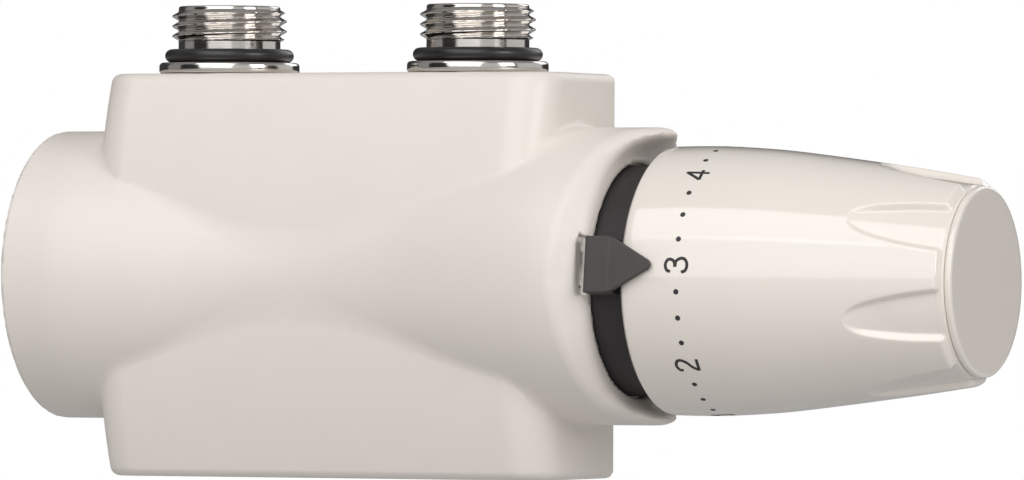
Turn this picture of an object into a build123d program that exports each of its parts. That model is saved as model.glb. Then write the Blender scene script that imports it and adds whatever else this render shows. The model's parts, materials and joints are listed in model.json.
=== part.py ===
from build123d import *
import os
from math import cos, radians, sin

os.makedirs("parts", exist_ok=True)

# Twin-connection radiator valve with a thermostatic head and a plastic cover.
# X runs along the valve's axis towards the head, -Y is the front, +Z is up into the radiator.
# The origin is on the valve's axis, midway between the two connections. All sizes in mm.

# Connections
CONNECTION_SPACING = 50.0
SIDE_X = CONNECTION_SPACING / 2
SIDES = {"left": -SIDE_X, "right": SIDE_X}
RADIATOR_THREAD_R = 20.955 / 2  # G 1/2
PIPE_THREAD_R = 26.441 / 2  # G 3/4
UNION_THREAD_R = 11.0  # M22 x 1.5
HEAD_THREAD_R = 15.0  # M30 x 1.5

# Valve body
BARREL_R = 13.0
BARREL_HALF = 36.0
CHAMBER_R = 8.5
MOUTH_R = 10.0
MOUTH_DEPTH = 6.0
SEAT_X = 20.0
SEAT_R = 5.5
SEAT_WALL = 2.5
INNER_CHAMBER_R = 7.0
INNER_CHAMBER_X = 5.0
TOWER_R = 8.0
TOWER_BORE_R = 4.6
TOWER_COLLAR_R = 9.8
TOWER_COLLAR_Z = 24.4
TOWER_TOP_Z = 27.0
BOSS_R = 10.8
BOSS_END_Y = 24.0
BOSS_BORE_R = 9.0
BOSS_BORE_Y = 11.0
PORT_R = 2.8
PORT_Y = 12.6
PORT_X = 11.0

BRIDGE_X = 18.0
BRIDGE_Y = 9.0
BRIDGE_LENGTH = 28.0
BRIDGE_DEPTH = 17.0
BRIDGE_HEIGHT = 15.0

# Radiator connection, heights along Z
SEAL_TOP_Z = 28.5
FLANGE_R = 12.8
FLANGE_Z = 37.5
FLANGE_TOP_Z = 39.5
NECK_R = 9.3
THREAD_Z = 44.3
NIPPLE_TOP_Z = 49.8
NIPPLE_BORE_R = 6.0
O_RING_WIRE = 2.4
KEY_SOCKET_FLATS = 12.6
KEY_SOCKET_DEPTH = 9.0
UNION_NUT_FLATS = 25.0
UNION_NUT_HEIGHT = 12.2
UNION_NUT_LIP = 2.6

# Pipe connection, distances along Y
PIPE_TAIL_Y = 14.0
PIPE_TAIL_BORE_R = 7.0
PIPE_FLANGE_R = 13.8
PIPE_FLANGE_Y = 26.8
PIPE_RELIEF_R = 11.8
PIPE_THREAD_Y = 28.2
PIPE_END_Y = 39.0
PIPE_BORE_R = 7.55
PIPE_CONE_R = 10.2
PIPE_CONE_Y = 34.0

# Cover
COVER_LIFT = 0.8  # the cover rides this much above the valve's axis
BOX_HALF_X = 44.9
BOX_HALF_Z = 36.6
BOX_FRONT_Y = -20.0
BOX_BACK_Y = 16.4
BULGE_R = 108.0  # the front bulges about a line along X
CORNER_R = 7.5
EDGE_R = 1.4
WALL = 2.0
WAIST_X = -4.0
WAIST_R = 20.8
LEFT_END_X = -58.3
LEFT_R = 26.3
LEFT_SLOPE_X = -40.0
COLLAR_R = 26.7
COLLAR_SLOPE_X = 37.5
COLLAR_END_X = 63.3
RECESS_X = 57.5  # floor of the collar's recess
RECESS_R = 24.6
MOUTH_CLEAR_R = 21.0
SCOOP_R = 27.0
SCOOP_X = 54.3
RIB_X = 9.0

# Head
HEAD_BASE_R = 20.7
KNOB_X = 63.7
KNOB_END_X = 122.8
DISC_END_X = 124.1
DISC_R = 16.3
POINTER_ANGLE = 6.7  # degrees above straight ahead
POINTER_WIDTH = 10.0
POINTER_TOP_R = 25.4
RECESS_COUNT = 7
RECESS_TIP_X = 105.0
LAND_END_X = 122.2

# Screw motions
SPINDLE_OPEN = 1.5  # lift of the cone off its seat at rest
SHUTOFF_OPEN = 3.0

FRONT_HALF = Plane.XZ  # its x is along the valve's axis, its y is a radius


def turn(outline, axis=Axis.X, plane=FRONT_HALF, mode=Mode.ADD):
    """Turn a closed outline of (along, radius) points about an axis, in the current part."""
    with BuildSketch(plane) as section:
        with BuildLine():
            Polyline(*outline, close=True)
        make_face()
    revolve(section.sketch, axis=axis, mode=mode)


def turn_upright(x, outline):
    """Turn (radius, height) points about the vertical through x."""
    plane = Plane(origin=(x, 0, 0), x_dir=(1, 0, 0), z_dir=(0, -1, 0))
    turn(outline, Axis((x, 0, 0), (0, 0, 1)), plane)


def hexagon_radius(across_flats):
    """Corner radius of a hexagon with this size across its flats."""
    return across_flats / 2 / cos(radians(30))


def facing(angle):
    """Plane whose x is the valve's axis and whose normal points out at an angle above the front."""
    a = radians(angle)
    return Plane(origin=(0, 0, 0), x_dir=(1, 0, 0), z_dir=(0, -cos(a), sin(a)))


def across(side, x):
    """Plane square to the valve's axis at x on one side, facing outwards."""
    return Plane(origin=(side * x, 0, 0), x_dir=(0, 1, 0), z_dir=(side, 0, 0))


# ---- Valve body: barrel, towers to the radiator, bosses to the pipes ----

with BuildPart() as valve_body:
    with BuildSketch(Plane.YZ.offset(-BARREL_HALF)):
        Circle(BARREL_R)
    extrude(amount=2 * BARREL_HALF)
    chamfer(edges().filter_by(GeomType.CIRCLE), 0.8)
    for x in SIDES.values():
        with BuildSketch(Plane.XY):
            with Locations((x, 0)):
                Circle(TOWER_R)
        extrude(amount=TOWER_TOP_Z)
        with BuildSketch(Plane.XY.offset(TOWER_COLLAR_Z)):
            with Locations((x, 0)):
                Circle(TOWER_COLLAR_R)
        extrude(amount=TOWER_TOP_Z - TOWER_COLLAR_Z)
        with BuildSketch(Plane.XZ):
            with Locations((x, 0)):
                Circle(BOSS_R)
        extrude(amount=-BOSS_END_Y)
    # bridge castings that carry the cross ports
    with BuildSketch(Plane.XY.offset(-BRIDGE_HEIGHT / 2)):
        for side in (-1, 1):
            with Locations((side * BRIDGE_X, BRIDGE_Y)):
                RectangleRounded(BRIDGE_LENGTH, BRIDGE_DEPTH, 3.0)
    extrude(amount=BRIDGE_HEIGHT)
    # bores along the barrel
    for side in (-1, 1):
        with BuildSketch(across(side, BARREL_HALF - MOUTH_DEPTH)):
            Circle(MOUTH_R)
        extrude(amount=MOUTH_DEPTH, mode=Mode.SUBTRACT)
        with BuildSketch(across(side, SEAT_X)):
            Circle(CHAMBER_R)
        extrude(amount=BARREL_HALF - SEAT_X, mode=Mode.SUBTRACT)
        with BuildSketch(across(side, INNER_CHAMBER_X)):
            Circle(SEAT_R)
        extrude(amount=SEAT_X - INNER_CHAMBER_X, mode=Mode.SUBTRACT)
        with BuildSketch(across(side, INNER_CHAMBER_X)):
            Circle(INNER_CHAMBER_R)
        extrude(amount=SEAT_X - SEAT_WALL - INNER_CHAMBER_X, mode=Mode.SUBTRACT)
        # tower bore, boss bore and the ports between boss and inner chamber
        with BuildSketch(Plane.XY):
            with Locations((side * SIDE_X, 0)):
                Circle(TOWER_BORE_R)
        extrude(amount=TOWER_TOP_Z, mode=Mode.SUBTRACT)
        with BuildSketch(Plane.XZ.offset(-BOSS_BORE_Y)):
            with Locations((side * SIDE_X, 0)):
                Circle(BOSS_BORE_R)
        extrude(amount=BOSS_BORE_Y - BOSS_END_Y, mode=Mode.SUBTRACT)
        with BuildSketch(across(side, PORT_X)):
            with Locations((PORT_Y, 0)):
                Circle(PORT_R)
        extrude(amount=SIDE_X - PORT_X, mode=Mode.SUBTRACT)
        with BuildSketch(Plane.XZ.offset(-PORT_Y)):
            with Locations((side * PORT_X, 0)):
                Circle(PORT_R)
        extrude(amount=PORT_Y, mode=Mode.SUBTRACT)
valve_body.part.label = "valve_body"
export_step(valve_body.part, "parts/valve_body.step")

# ---- Connections, one set on each side ----

for side, x in SIDES.items():
    # radiator nipple: union thread, flange, O-ring seat, undercut neck and radiator thread
    with BuildPart() as radiator_nipple:
        turn_upright(
            x,
            [
                (NIPPLE_BORE_R, SEAL_TOP_Z),
                (UNION_THREAD_R - 0.8, SEAL_TOP_Z),
                (UNION_THREAD_R, SEAL_TOP_Z + 0.8),
                (UNION_THREAD_R, FLANGE_Z),
                (FLANGE_R - 0.4, FLANGE_Z),
                (FLANGE_R, FLANGE_Z + 0.4),
                (FLANGE_R, FLANGE_TOP_Z - 0.6),
                (FLANGE_R - 0.6, FLANGE_TOP_Z),
                (NECK_R, FLANGE_TOP_Z),
                (NECK_R, THREAD_Z - 0.9),
                (RADIATOR_THREAD_R, THREAD_Z),
                (RADIATOR_THREAD_R, NIPPLE_TOP_Z - 0.7),
                (RADIATOR_THREAD_R - 0.9, NIPPLE_TOP_Z),
                (NIPPLE_BORE_R + 0.6, NIPPLE_TOP_Z),
                (NIPPLE_BORE_R, NIPPLE_TOP_Z - 0.6),
            ],
        )
        with BuildSketch(Plane.XY.offset(NIPPLE_TOP_Z)):
            with Locations((x, 0)):
                RegularPolygon(hexagon_radius(KEY_SOCKET_FLATS), 6)
        extrude(amount=-KEY_SOCKET_DEPTH, mode=Mode.SUBTRACT)
    radiator_nipple.part.label = f"radiator_nipple_{side}"
    export_step(radiator_nipple.part, f"parts/radiator_nipple_{side}.step")

    # O-ring that seals the nipple in the radiator's socket
    ring_r = NECK_R + 0.05 + O_RING_WIRE / 2
    with BuildPart() as radiator_o_ring:
        with BuildSketch(Plane(origin=(x, 0, 0), x_dir=(1, 0, 0), z_dir=(0, -1, 0))):
            with Locations((ring_r, FLANGE_TOP_Z + 0.05 + O_RING_WIRE / 2)):
                Circle(O_RING_WIRE / 2)
        revolve(axis=Axis((x, 0, 0), (0, 0, 1)))
    radiator_o_ring.part.label = f"radiator_o_ring_{side}"
    export_step(radiator_o_ring.part, f"parts/radiator_o_ring_{side}.step")

    # flat seal between the tower and the nipple
    with BuildPart() as union_seal:
        turn_upright(
            x,
            [
                (NIPPLE_BORE_R + 0.2, TOWER_TOP_Z),
                (TOWER_COLLAR_R, TOWER_TOP_Z),
                (TOWER_COLLAR_R, SEAL_TOP_Z),
                (NIPPLE_BORE_R + 0.2, SEAL_TOP_Z),
            ],
        )
    union_seal.part.label = f"union_seal_{side}"
    export_step(union_seal.part, f"parts/union_seal_{side}.step")

    # union nut, caught under the tower's collar
    with BuildPart() as union_nut:
        with BuildSketch(Plane.XY.offset(TOWER_COLLAR_Z - UNION_NUT_LIP)):
            with Locations((x, 0)):
                RegularPolygon(hexagon_radius(UNION_NUT_FLATS), 6)
        extrude(amount=UNION_NUT_HEIGHT)
        with BuildSketch(Plane.XY.offset(TOWER_COLLAR_Z - 0.05)):
            with Locations((x, 0)):
                Circle(UNION_THREAD_R + 0.03)
        extrude(amount=UNION_NUT_HEIGHT, mode=Mode.SUBTRACT)
        with BuildSketch(Plane.XY):
            with Locations((x, 0)):
                Circle(TOWER_R + 0.3)
        extrude(amount=TOWER_COLLAR_Z + 1.0, mode=Mode.SUBTRACT)
    union_nut.part.label = f"union_nut_{side}"
    export_step(union_nut.part, f"parts/union_nut_{side}.step")

    # pipe nipple with a coned mouth for a compression fitting
    pipe_plane = Plane(origin=(x, 0, 0), x_dir=(1, 0, 0), z_dir=(0, 0, 1))
    with BuildPart() as pipe_nipple:
        turn(
            [
                (PIPE_TAIL_BORE_R, PIPE_TAIL_Y),
                (BOSS_BORE_R, PIPE_TAIL_Y),
                (BOSS_BORE_R, BOSS_END_Y),
                (PIPE_FLANGE_R, BOSS_END_Y),
                (PIPE_FLANGE_R, PIPE_FLANGE_Y),
                (PIPE_RELIEF_R, PIPE_FLANGE_Y),
                (PIPE_RELIEF_R, PIPE_THREAD_Y),
                (PIPE_THREAD_R, PIPE_THREAD_Y + 1.0),
                (PIPE_THREAD_R, PIPE_END_Y - 1.0),
                (PIPE_THREAD_R - 1.2, PIPE_END_Y),
                (PIPE_CONE_R, PIPE_END_Y),
                (PIPE_BORE_R, PIPE_CONE_Y),
                (PIPE_BORE_R, BOSS_END_Y),
                (PIPE_TAIL_BORE_R, BOSS_END_Y),
            ],
            Axis((x, 0, 0), (0, 1, 0)),
            pipe_plane,
        )
    pipe_nipple.part.label = f"pipe_nipple_{side}"
    export_step(pipe_nipple.part, f"parts/pipe_nipple_{side}.step")

# ---- Thermostatic insert, in the barrel's right end ----

INSERT_NUT_X = BARREL_HALF + 3.5
INSERT_END_X = 47.2
SPINDLE_R = 1.6
PIN_TIP_X = 53.5
INSERT_FLATS = 27.0
INSERT_FLOOR = 1.5
SPRING_CHAMBER_R = 5.0
CONE_SEAL_R = 6.6
CONE_SEAL_WALL = 1.5
CONE_R = 7.0
SLIDING_GAP = 0.05
cone_x = SEAT_X + SPINDLE_OPEN
holder_x = cone_x + CONE_SEAL_WALL

with BuildPart() as insert_housing:
    with BuildSketch(Plane.YZ.offset(BARREL_HALF - MOUTH_DEPTH)):
        Circle(MOUTH_R)
    extrude(amount=MOUTH_DEPTH)
    with BuildSketch(Plane.YZ.offset(BARREL_HALF)):
        RegularPolygon(hexagon_radius(INSERT_FLATS), 6)
    extrude(amount=INSERT_NUT_X - BARREL_HALF)
    with BuildSketch(Plane.YZ.offset(INSERT_NUT_X)):
        Circle(HEAD_THREAD_R)
    extrude(amount=INSERT_END_X - INSERT_NUT_X)
    chamfer(edges().filter_by(GeomType.CIRCLE).sort_by(Axis.X)[-1], 0.8)
    with BuildSketch(Plane.YZ.offset(BARREL_HALF - MOUTH_DEPTH + INSERT_FLOOR)):
        Circle(SPRING_CHAMBER_R)
    extrude(amount=20.0, mode=Mode.SUBTRACT)
    with BuildSketch(Plane.YZ.offset(BARREL_HALF - MOUTH_DEPTH)):
        Circle(SPINDLE_R + SLIDING_GAP)
    extrude(amount=5.0, mode=Mode.SUBTRACT)
insert_housing.part.label = "insert_housing"
export_step(insert_housing.part, "parts/insert_housing.step")

with BuildPart() as valve_spindle:
    turn(
        [
            (cone_x, 0),
            (cone_x, SPINDLE_R),
            (PIN_TIP_X - 0.4, SPINDLE_R),
            (PIN_TIP_X, SPINDLE_R - 0.4),
            (PIN_TIP_X, 0),
        ]
    )
valve_spindle.part.label = "valve_spindle"
export_step(valve_spindle.part, "parts/valve_spindle.step")

with BuildPart() as cone_seal:
    turn([(cone_x, SPINDLE_R), (cone_x, CONE_SEAL_R), (holder_x, CONE_SEAL_R), (holder_x, SPINDLE_R)])
cone_seal.part.label = "cone_seal"
export_step(cone_seal.part, "parts/cone_seal.step")

with BuildPart() as cone_holder:
    turn(
        [
            (holder_x, SPINDLE_R),
            (holder_x, CONE_R),
            (holder_x + 1.0, CONE_R),
            (holder_x + 3.0, CONE_R / 2),
            (holder_x + 3.0, SPINDLE_R),
        ]
    )
cone_holder.part.label = "cone_holder"
export_step(cone_holder.part, "parts/cone_holder.step")

CLIP_X = 40.0
CLIP_R = 4.2
with BuildPart() as spindle_clip:
    with BuildSketch(Plane.YZ.offset(CLIP_X)):
        Circle(CLIP_R)
        Circle(SPINDLE_R, mode=Mode.SUBTRACT)
        with Locations((3.0, 0)):
            Rectangle(6.0, 1.6, mode=Mode.SUBTRACT)
    extrude(amount=0.8)
spindle_clip.part.label = "spindle_clip"
export_step(spindle_clip.part, "parts/spindle_clip.step")


def coil(start_x, length, mean_r, wire, turns):
    """Compression spring along X."""
    with BuildPart() as spring:
        with BuildLine() as path:
            Helix(
                pitch=(length - wire) / turns,
                height=length - wire,
                radius=mean_r,
                center=(start_x + wire / 2, 0, 0),
                direction=(1, 0, 0),
            )
        start = path.line
        with BuildSketch(Plane(origin=start @ 0, z_dir=start % 0)):
            Circle(wire / 2)
        sweep(path=start)
    return spring


SPRING_X = BARREL_HALF - MOUTH_DEPTH + INSERT_FLOOR
return_spring = coil(SPRING_X + 0.05, CLIP_X - SPRING_X - 0.1, 3.1, 0.7, 5)
return_spring.part.label = "return_spring"
export_step(return_spring.part, "parts/return_spring.step")

GLAND_X = INSERT_END_X - 2.7
GLAND_FLATS = 10.0
GLAND_HEAD = 2.5
GLAND_POCKET_R = 2.9
GLAND_POCKET = 1.7
with BuildPart() as gland_nut:
    with BuildSketch(Plane.YZ.offset(GLAND_X)):
        Circle(SPRING_CHAMBER_R)
    extrude(amount=INSERT_END_X - GLAND_X)
    with BuildSketch(Plane.YZ.offset(INSERT_END_X)):
        RegularPolygon(hexagon_radius(GLAND_FLATS), 6)
    extrude(amount=GLAND_HEAD)
    with BuildSketch(Plane.YZ.offset(GLAND_X)):
        Circle(SPINDLE_R + SLIDING_GAP)
    extrude(amount=6.0, mode=Mode.SUBTRACT)
    with BuildSketch(Plane.YZ.offset(GLAND_X)):
        Circle(GLAND_POCKET_R)
    extrude(amount=GLAND_POCKET, mode=Mode.SUBTRACT)
gland_nut.part.label = "gland_nut"
export_step(gland_nut.part, "parts/gland_nut.step")

with BuildPart() as gland_o_ring:
    with BuildSketch(FRONT_HALF):
        with Locations((INSERT_END_X - 1.85, SPINDLE_R + 0.65)):
            Circle(0.6)
    revolve(axis=Axis.X)
gland_o_ring.part.label = "gland_o_ring"
export_step(gland_o_ring.part, "parts/gland_o_ring.step")

# ---- Shut-off insert, in the barrel's left end ----

SHUTOFF_NUT_X = -(BARREL_HALF + 4.0)
SHUTOFF_END_X = -46.0
SHUTOFF_R = 4.5
SHUTOFF_FLATS = 22.0
SHUTOFF_THREAD_R = 8.0
SHUTOFF_FACE_X = -43.0
SHANK_X = -28.0
SHANK_R = 2.0
SHANK_LENGTH = 3.0
SHUTOFF_KEY_FLATS = 5.0
CONE_BACK_X = -27.9
GROOVE_X = -26.2
shutoff_cone_x = -(SEAT_X + SHUTOFF_OPEN)

with BuildPart() as shutoff_housing:
    with BuildSketch(Plane.YZ.offset(-BARREL_HALF)):
        Circle(MOUTH_R)
    extrude(amount=MOUTH_DEPTH)
    with BuildSketch(Plane.YZ.offset(SHUTOFF_NUT_X)):
        RegularPolygon(hexagon_radius(SHUTOFF_FLATS), 6)
    extrude(amount=-BARREL_HALF - SHUTOFF_NUT_X)
    with BuildSketch(Plane.YZ.offset(SHUTOFF_END_X)):
        Circle(SHUTOFF_THREAD_R)
    extrude(amount=SHUTOFF_NUT_X - SHUTOFF_END_X)
    with BuildSketch(Plane.YZ.offset(SHUTOFF_END_X)):
        Circle(SHUTOFF_R + SLIDING_GAP)
    extrude(amount=20.0, mode=Mode.SUBTRACT)
shutoff_housing.part.label = "shutoff_housing"
export_step(shutoff_housing.part, "parts/shutoff_housing.step")

with BuildPart() as shutoff_spindle:
    with BuildSketch(Plane.YZ.offset(SHUTOFF_FACE_X)):
        Circle(SHUTOFF_R)
    extrude(amount=SHANK_X - SHUTOFF_FACE_X)
    with BuildSketch(Plane.YZ.offset(SHANK_X)):
        Circle(SHANK_R)
    extrude(amount=SHANK_LENGTH)
    with BuildSketch(Plane.YZ.offset(SHUTOFF_FACE_X)):
        RegularPolygon(hexagon_radius(SHUTOFF_KEY_FLATS), 6)
    extrude(amount=5.0, mode=Mode.SUBTRACT)
shutoff_spindle.part.label = "shutoff_spindle"
export_step(shutoff_spindle.part, "parts/shutoff_spindle.step")

with BuildPart() as shutoff_cone:
    turn(
        [
            (shutoff_cone_x, 0),
            (shutoff_cone_x, 5.0),
            (shutoff_cone_x - 1.5, CONE_SEAL_R),
            (CONE_BACK_X, CONE_SEAL_R),
            (CONE_BACK_X, SHANK_R + 0.1),
            (CONE_BACK_X + SHANK_LENGTH, SHANK_R + 0.1),
            (CONE_BACK_X + SHANK_LENGTH, 0),
        ]
    )
    with BuildSketch(FRONT_HALF):
        with Locations((GROOVE_X, CONE_SEAL_R)):
            Circle(0.75)
    revolve(axis=Axis.X, mode=Mode.SUBTRACT)
shutoff_cone.part.label = "shutoff_cone"
export_step(shutoff_cone.part, "parts/shutoff_cone.step")

with BuildPart() as shutoff_o_ring:
    with BuildSketch(FRONT_HALF):
        with Locations((GROOVE_X, CONE_SEAL_R + SLIDING_GAP)):
            Circle(0.7)
    revolve(axis=Axis.X)
shutoff_o_ring.part.label = "shutoff_o_ring"
export_step(shutoff_o_ring.part, "parts/shutoff_o_ring.step")

CAP_X = -49.0
CAP_R = 9.6
CAP_MOUTH_X = -40.5
CAP_BORE_R = SHUTOFF_THREAD_R + 0.03
with BuildPart() as shutoff_cap:
    turn(
        [
            (CAP_X, 0),
            (CAP_X, CAP_R - 0.8),
            (CAP_X + 0.8, CAP_R),
            (CAP_MOUTH_X, CAP_R),
            (CAP_MOUTH_X, CAP_BORE_R),
            (CAP_X + 2.0, CAP_BORE_R),
            (CAP_X + 2.0, 0),
        ]
    )
shutoff_cap.part.label = "shutoff_cap"
export_step(shutoff_cap.part, "parts/shutoff_cap.step")

# ---- Cover: bulged box crossed by a waisted tube, open at the back ----

COVER_AXIS = Axis((0, 0, COVER_LIFT), (1, 0, 0))
COVER_PLANE = Plane(origin=(0, 0, COVER_LIFT), x_dir=(1, 0, 0), z_dir=(0, -1, 0))


def cover_section(inset, back):
    """End view of the box, shrunk by a wall, as a face at the box's left end."""
    half_z = BOX_HALF_Z - inset
    front = BOX_FRONT_Y + inset
    setback = BULGE_R - inset - ((BULGE_R - inset) ** 2 - half_z**2) ** 0.5
    left = Plane(origin=(-BOX_HALF_X + inset, 0, COVER_LIFT), x_dir=(0, 1, 0), z_dir=(1, 0, 0))
    with BuildSketch(left) as section:
        with BuildLine():
            ThreePointArc((front + setback, half_z), (front, 0), (front + setback, -half_z))
            Polyline((front + setback, -half_z), (back, -half_z), (back, half_z), (front + setback, half_z))
        make_face()
    return section.sketch


def waist_radius(x, edge_x, edge_r):
    """Radius of the waist's arc where it runs out at edge_x."""
    run = edge_x - WAIST_X
    rise = edge_r - WAIST_R
    bow = (run**2 + rise**2) / (2 * rise)
    return WAIST_R + bow - (bow**2 - (x - WAIST_X) ** 2) ** 0.5


def tube_section(inset, left_x, right_x):
    """Half outline of the waisted tube, shrunk by a wall, as a face in the valve's upright plane."""
    left_mid = (LEFT_SLOPE_X + WAIST_X) / 2
    right_mid = (COLLAR_SLOPE_X + WAIST_X) / 2
    with BuildSketch(COVER_PLANE) as section:
        with BuildLine():
            Polyline((right_x, 0), (left_x, 0), (left_x, LEFT_R - inset), (LEFT_SLOPE_X, LEFT_R - inset))
            ThreePointArc(
                (LEFT_SLOPE_X, LEFT_R - inset),
                (left_mid, waist_radius(left_mid, LEFT_SLOPE_X, LEFT_R) - inset),
                (WAIST_X, WAIST_R - inset),
            )
            ThreePointArc(
                (WAIST_X, WAIST_R - inset),
                (right_mid, waist_radius(right_mid, COLLAR_SLOPE_X, COLLAR_R) - inset),
                (COLLAR_SLOPE_X, COLLAR_R - inset),
            )
            Polyline((COLLAR_SLOPE_X, COLLAR_R - inset), (right_x, COLLAR_R - inset), (right_x, 0))
        make_face()
    return section.sketch


with BuildPart() as cover_hollow:
    extrude(cover_section(WALL, BOX_BACK_Y + 5), amount=2 * (BOX_HALF_X - WALL))
    fillet(edges().filter_by(GeomType.CIRCLE), CORNER_R - WALL)
    revolve(tube_section(WALL, LEFT_END_X + WALL, RECESS_X - WALL), axis=COVER_AXIS)
    # stiffening ribs stay solid and cradle the barrel
    for x in (-RIB_X, RIB_X):
        with BuildSketch(Plane.YZ.offset(x - WALL / 2)):
            Rectangle(120.0, 120.0)
            Circle(BARREL_R + 0.1, mode=Mode.SUBTRACT)
            with Locations((30.0, 0)):
                Rectangle(60.0, 2 * BARREL_R + 0.2, mode=Mode.SUBTRACT)
        extrude(amount=WALL, mode=Mode.SUBTRACT)

with BuildPart() as cover_shell:
    extrude(cover_section(0, BOX_BACK_Y), amount=2 * BOX_HALF_X)
    fillet(edges().filter_by(GeomType.CIRCLE), CORNER_R)
    rims = faces().sort_by(Axis.Z)[0].edges() + faces().sort_by(Axis.Z)[-1].edges()
    fillet([e for e in rims if e.center().Y < BOX_BACK_Y - 0.1], EDGE_R)
    revolve(tube_section(0, LEFT_END_X, COLLAR_END_X), axis=COVER_AXIS)
    # flat back
    with BuildSketch(Plane.XZ.offset(-BOX_BACK_Y)):
        Rectangle(4 * BOX_HALF_X, 4 * BOX_HALF_Z)
    extrude(amount=-40.0, mode=Mode.SUBTRACT)
    add(cover_hollow.part, mode=Mode.SUBTRACT)
    # recess at the collar's end, its mouth round the head's base, and the scooped front and back
    with BuildSketch(Plane.YZ.offset(RECESS_X)):
        with Locations((0, COVER_LIFT)):
            Circle(RECESS_R)
    extrude(amount=20.0, mode=Mode.SUBTRACT)
    with BuildSketch(Plane.YZ.offset(RECESS_X - 5)):
        Circle(MOUTH_CLEAR_R)
    extrude(amount=20.0, mode=Mode.SUBTRACT)
    with BuildSketch(Plane.XY.offset(-40.0)):
        with Locations((SCOOP_X + SCOOP_R, -COLLAR_R), (SCOOP_X + SCOOP_R, COLLAR_R)):
            Circle(SCOOP_R)
    extrude(amount=80.0, mode=Mode.SUBTRACT)
    # slots that let the radiator nipples through the top
    for x in SIDES.values():
        with BuildSketch(Plane.XY.offset(BOX_HALF_Z - 5)):
            with Locations((x, 0)):
                Circle(UNION_THREAD_R + 0.6)
            with Locations((x, 20.0)):
                Rectangle(2 * UNION_THREAD_R + 1.2, 40.0)
        extrude(amount=10.0, mode=Mode.SUBTRACT)
    # seat for the end cap
    with BuildSketch(Plane.YZ.offset(LEFT_END_X)):
        with Locations((0, COVER_LIFT)):
            Circle(LEFT_R - WALL / 2)
    extrude(amount=WALL, mode=Mode.SUBTRACT)
    # notch behind the setting pointer
    with BuildSketch(facing(POINTER_ANGLE)):
        with Locations((RECESS_X, 0)):
            Rectangle(5.0, POINTER_WIDTH + 0.4)
    extrude(amount=40.0, mode=Mode.SUBTRACT)
cover_shell.part.label = "cover_shell"
export_step(cover_shell.part, "parts/cover_shell.step")

with BuildPart() as cover_end_cap:
    with BuildSketch(Plane.YZ.offset(LEFT_END_X)):
        with Locations((0, COVER_LIFT)):
            Circle(LEFT_R - WALL / 2 - 0.1)
        with Locations((BOX_BACK_Y + 20.0, COVER_LIFT)):
            Rectangle(40.0, 80.0, mode=Mode.SUBTRACT)
    extrude(amount=WALL - 0.1)
cover_end_cap.part.label = "cover_end_cap"
export_step(cover_end_cap.part, "parts/cover_end_cap.step")

# ---- Head: union nut, fixed base, pointer, knob and sensor ----

HEAD_NUT_X = 41.0
HEAD_NUT_R = 17.6
HEAD_NUT_LENGTH = 10.0
HEAD_NUT_WEB_X = 49.3
HEAD_NUT_BORE_R = 12.25
FLUTES = 24
FLUTE_R = 1.3
with BuildPart() as head_union_nut:
    with BuildSketch(Plane.YZ.offset(HEAD_NUT_X)):
        Circle(HEAD_NUT_R)
        with PolarLocations(HEAD_NUT_R + 0.8, FLUTES):
            Circle(FLUTE_R, mode=Mode.SUBTRACT)
    extrude(amount=HEAD_NUT_LENGTH)
    with BuildSketch(Plane.YZ.offset(HEAD_NUT_X)):
        Circle(HEAD_THREAD_R + 0.03)
    extrude(amount=HEAD_NUT_WEB_X - HEAD_NUT_X, mode=Mode.SUBTRACT)
    with BuildSketch(Plane.YZ.offset(HEAD_NUT_X)):
        Circle(HEAD_NUT_BORE_R)
    extrude(amount=HEAD_NUT_LENGTH + 2, mode=Mode.SUBTRACT)
head_union_nut.part.label = "head_union_nut"
export_step(head_union_nut.part, "parts/head_union_nut.step")

BASE_X = 47.3
BASE_LIP_X = 49.2
WEB_X = 52.0
WEB_END_X = 55.0
BASE_END_X = 66.5
SLEEVE_R = 13.0
SLEEVE_BORE_R = 11.9
SLEEVE_END_X = 90.0
PLUNGER_R = 2.95
SNAP_X = 77.2
SNAP_GROOVE = 0.5
SNAP_WIDTH = 1.3
KEYWAY = 3.2
with BuildPart() as head_base:
    turn(
        [
            (BASE_X, 8.0),
            (BASE_X, 14.4),
            (BASE_LIP_X, 14.4),
            (BASE_LIP_X, 12.0),
            (WEB_X, 12.0),
            (WEB_X, HEAD_BASE_R),
            (BASE_END_X, HEAD_BASE_R),
            (BASE_END_X, HEAD_BASE_R - 1.8),
            (WEB_END_X, HEAD_BASE_R - 1.8),
            (WEB_END_X, SLEEVE_R),
            (SNAP_X, SLEEVE_R),
            (SNAP_X, SLEEVE_R - SNAP_GROOVE),
            (SNAP_X + SNAP_WIDTH, SLEEVE_R - SNAP_GROOVE),
            (SNAP_X + SNAP_WIDTH, SLEEVE_R),
            (SLEEVE_END_X, SLEEVE_R),
            (SLEEVE_END_X, SLEEVE_BORE_R),
            (WEB_END_X, SLEEVE_BORE_R),
            (WEB_END_X, PLUNGER_R + 0.1),
            (WEB_X, PLUNGER_R + 0.1),
            (WEB_X, 8.0),
        ]
    )
    # keyways that stop the sensor's carrier from turning
    with BuildSketch(Plane.XY.offset(-20.0)):
        with Locations((SLEEVE_END_X - 4.0, 0)):
            Rectangle(12.0, KEYWAY)
    extrude(amount=40.0, mode=Mode.SUBTRACT)
head_base.part.label = "head_base"
export_step(head_base.part, "parts/head_base.step")

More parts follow.
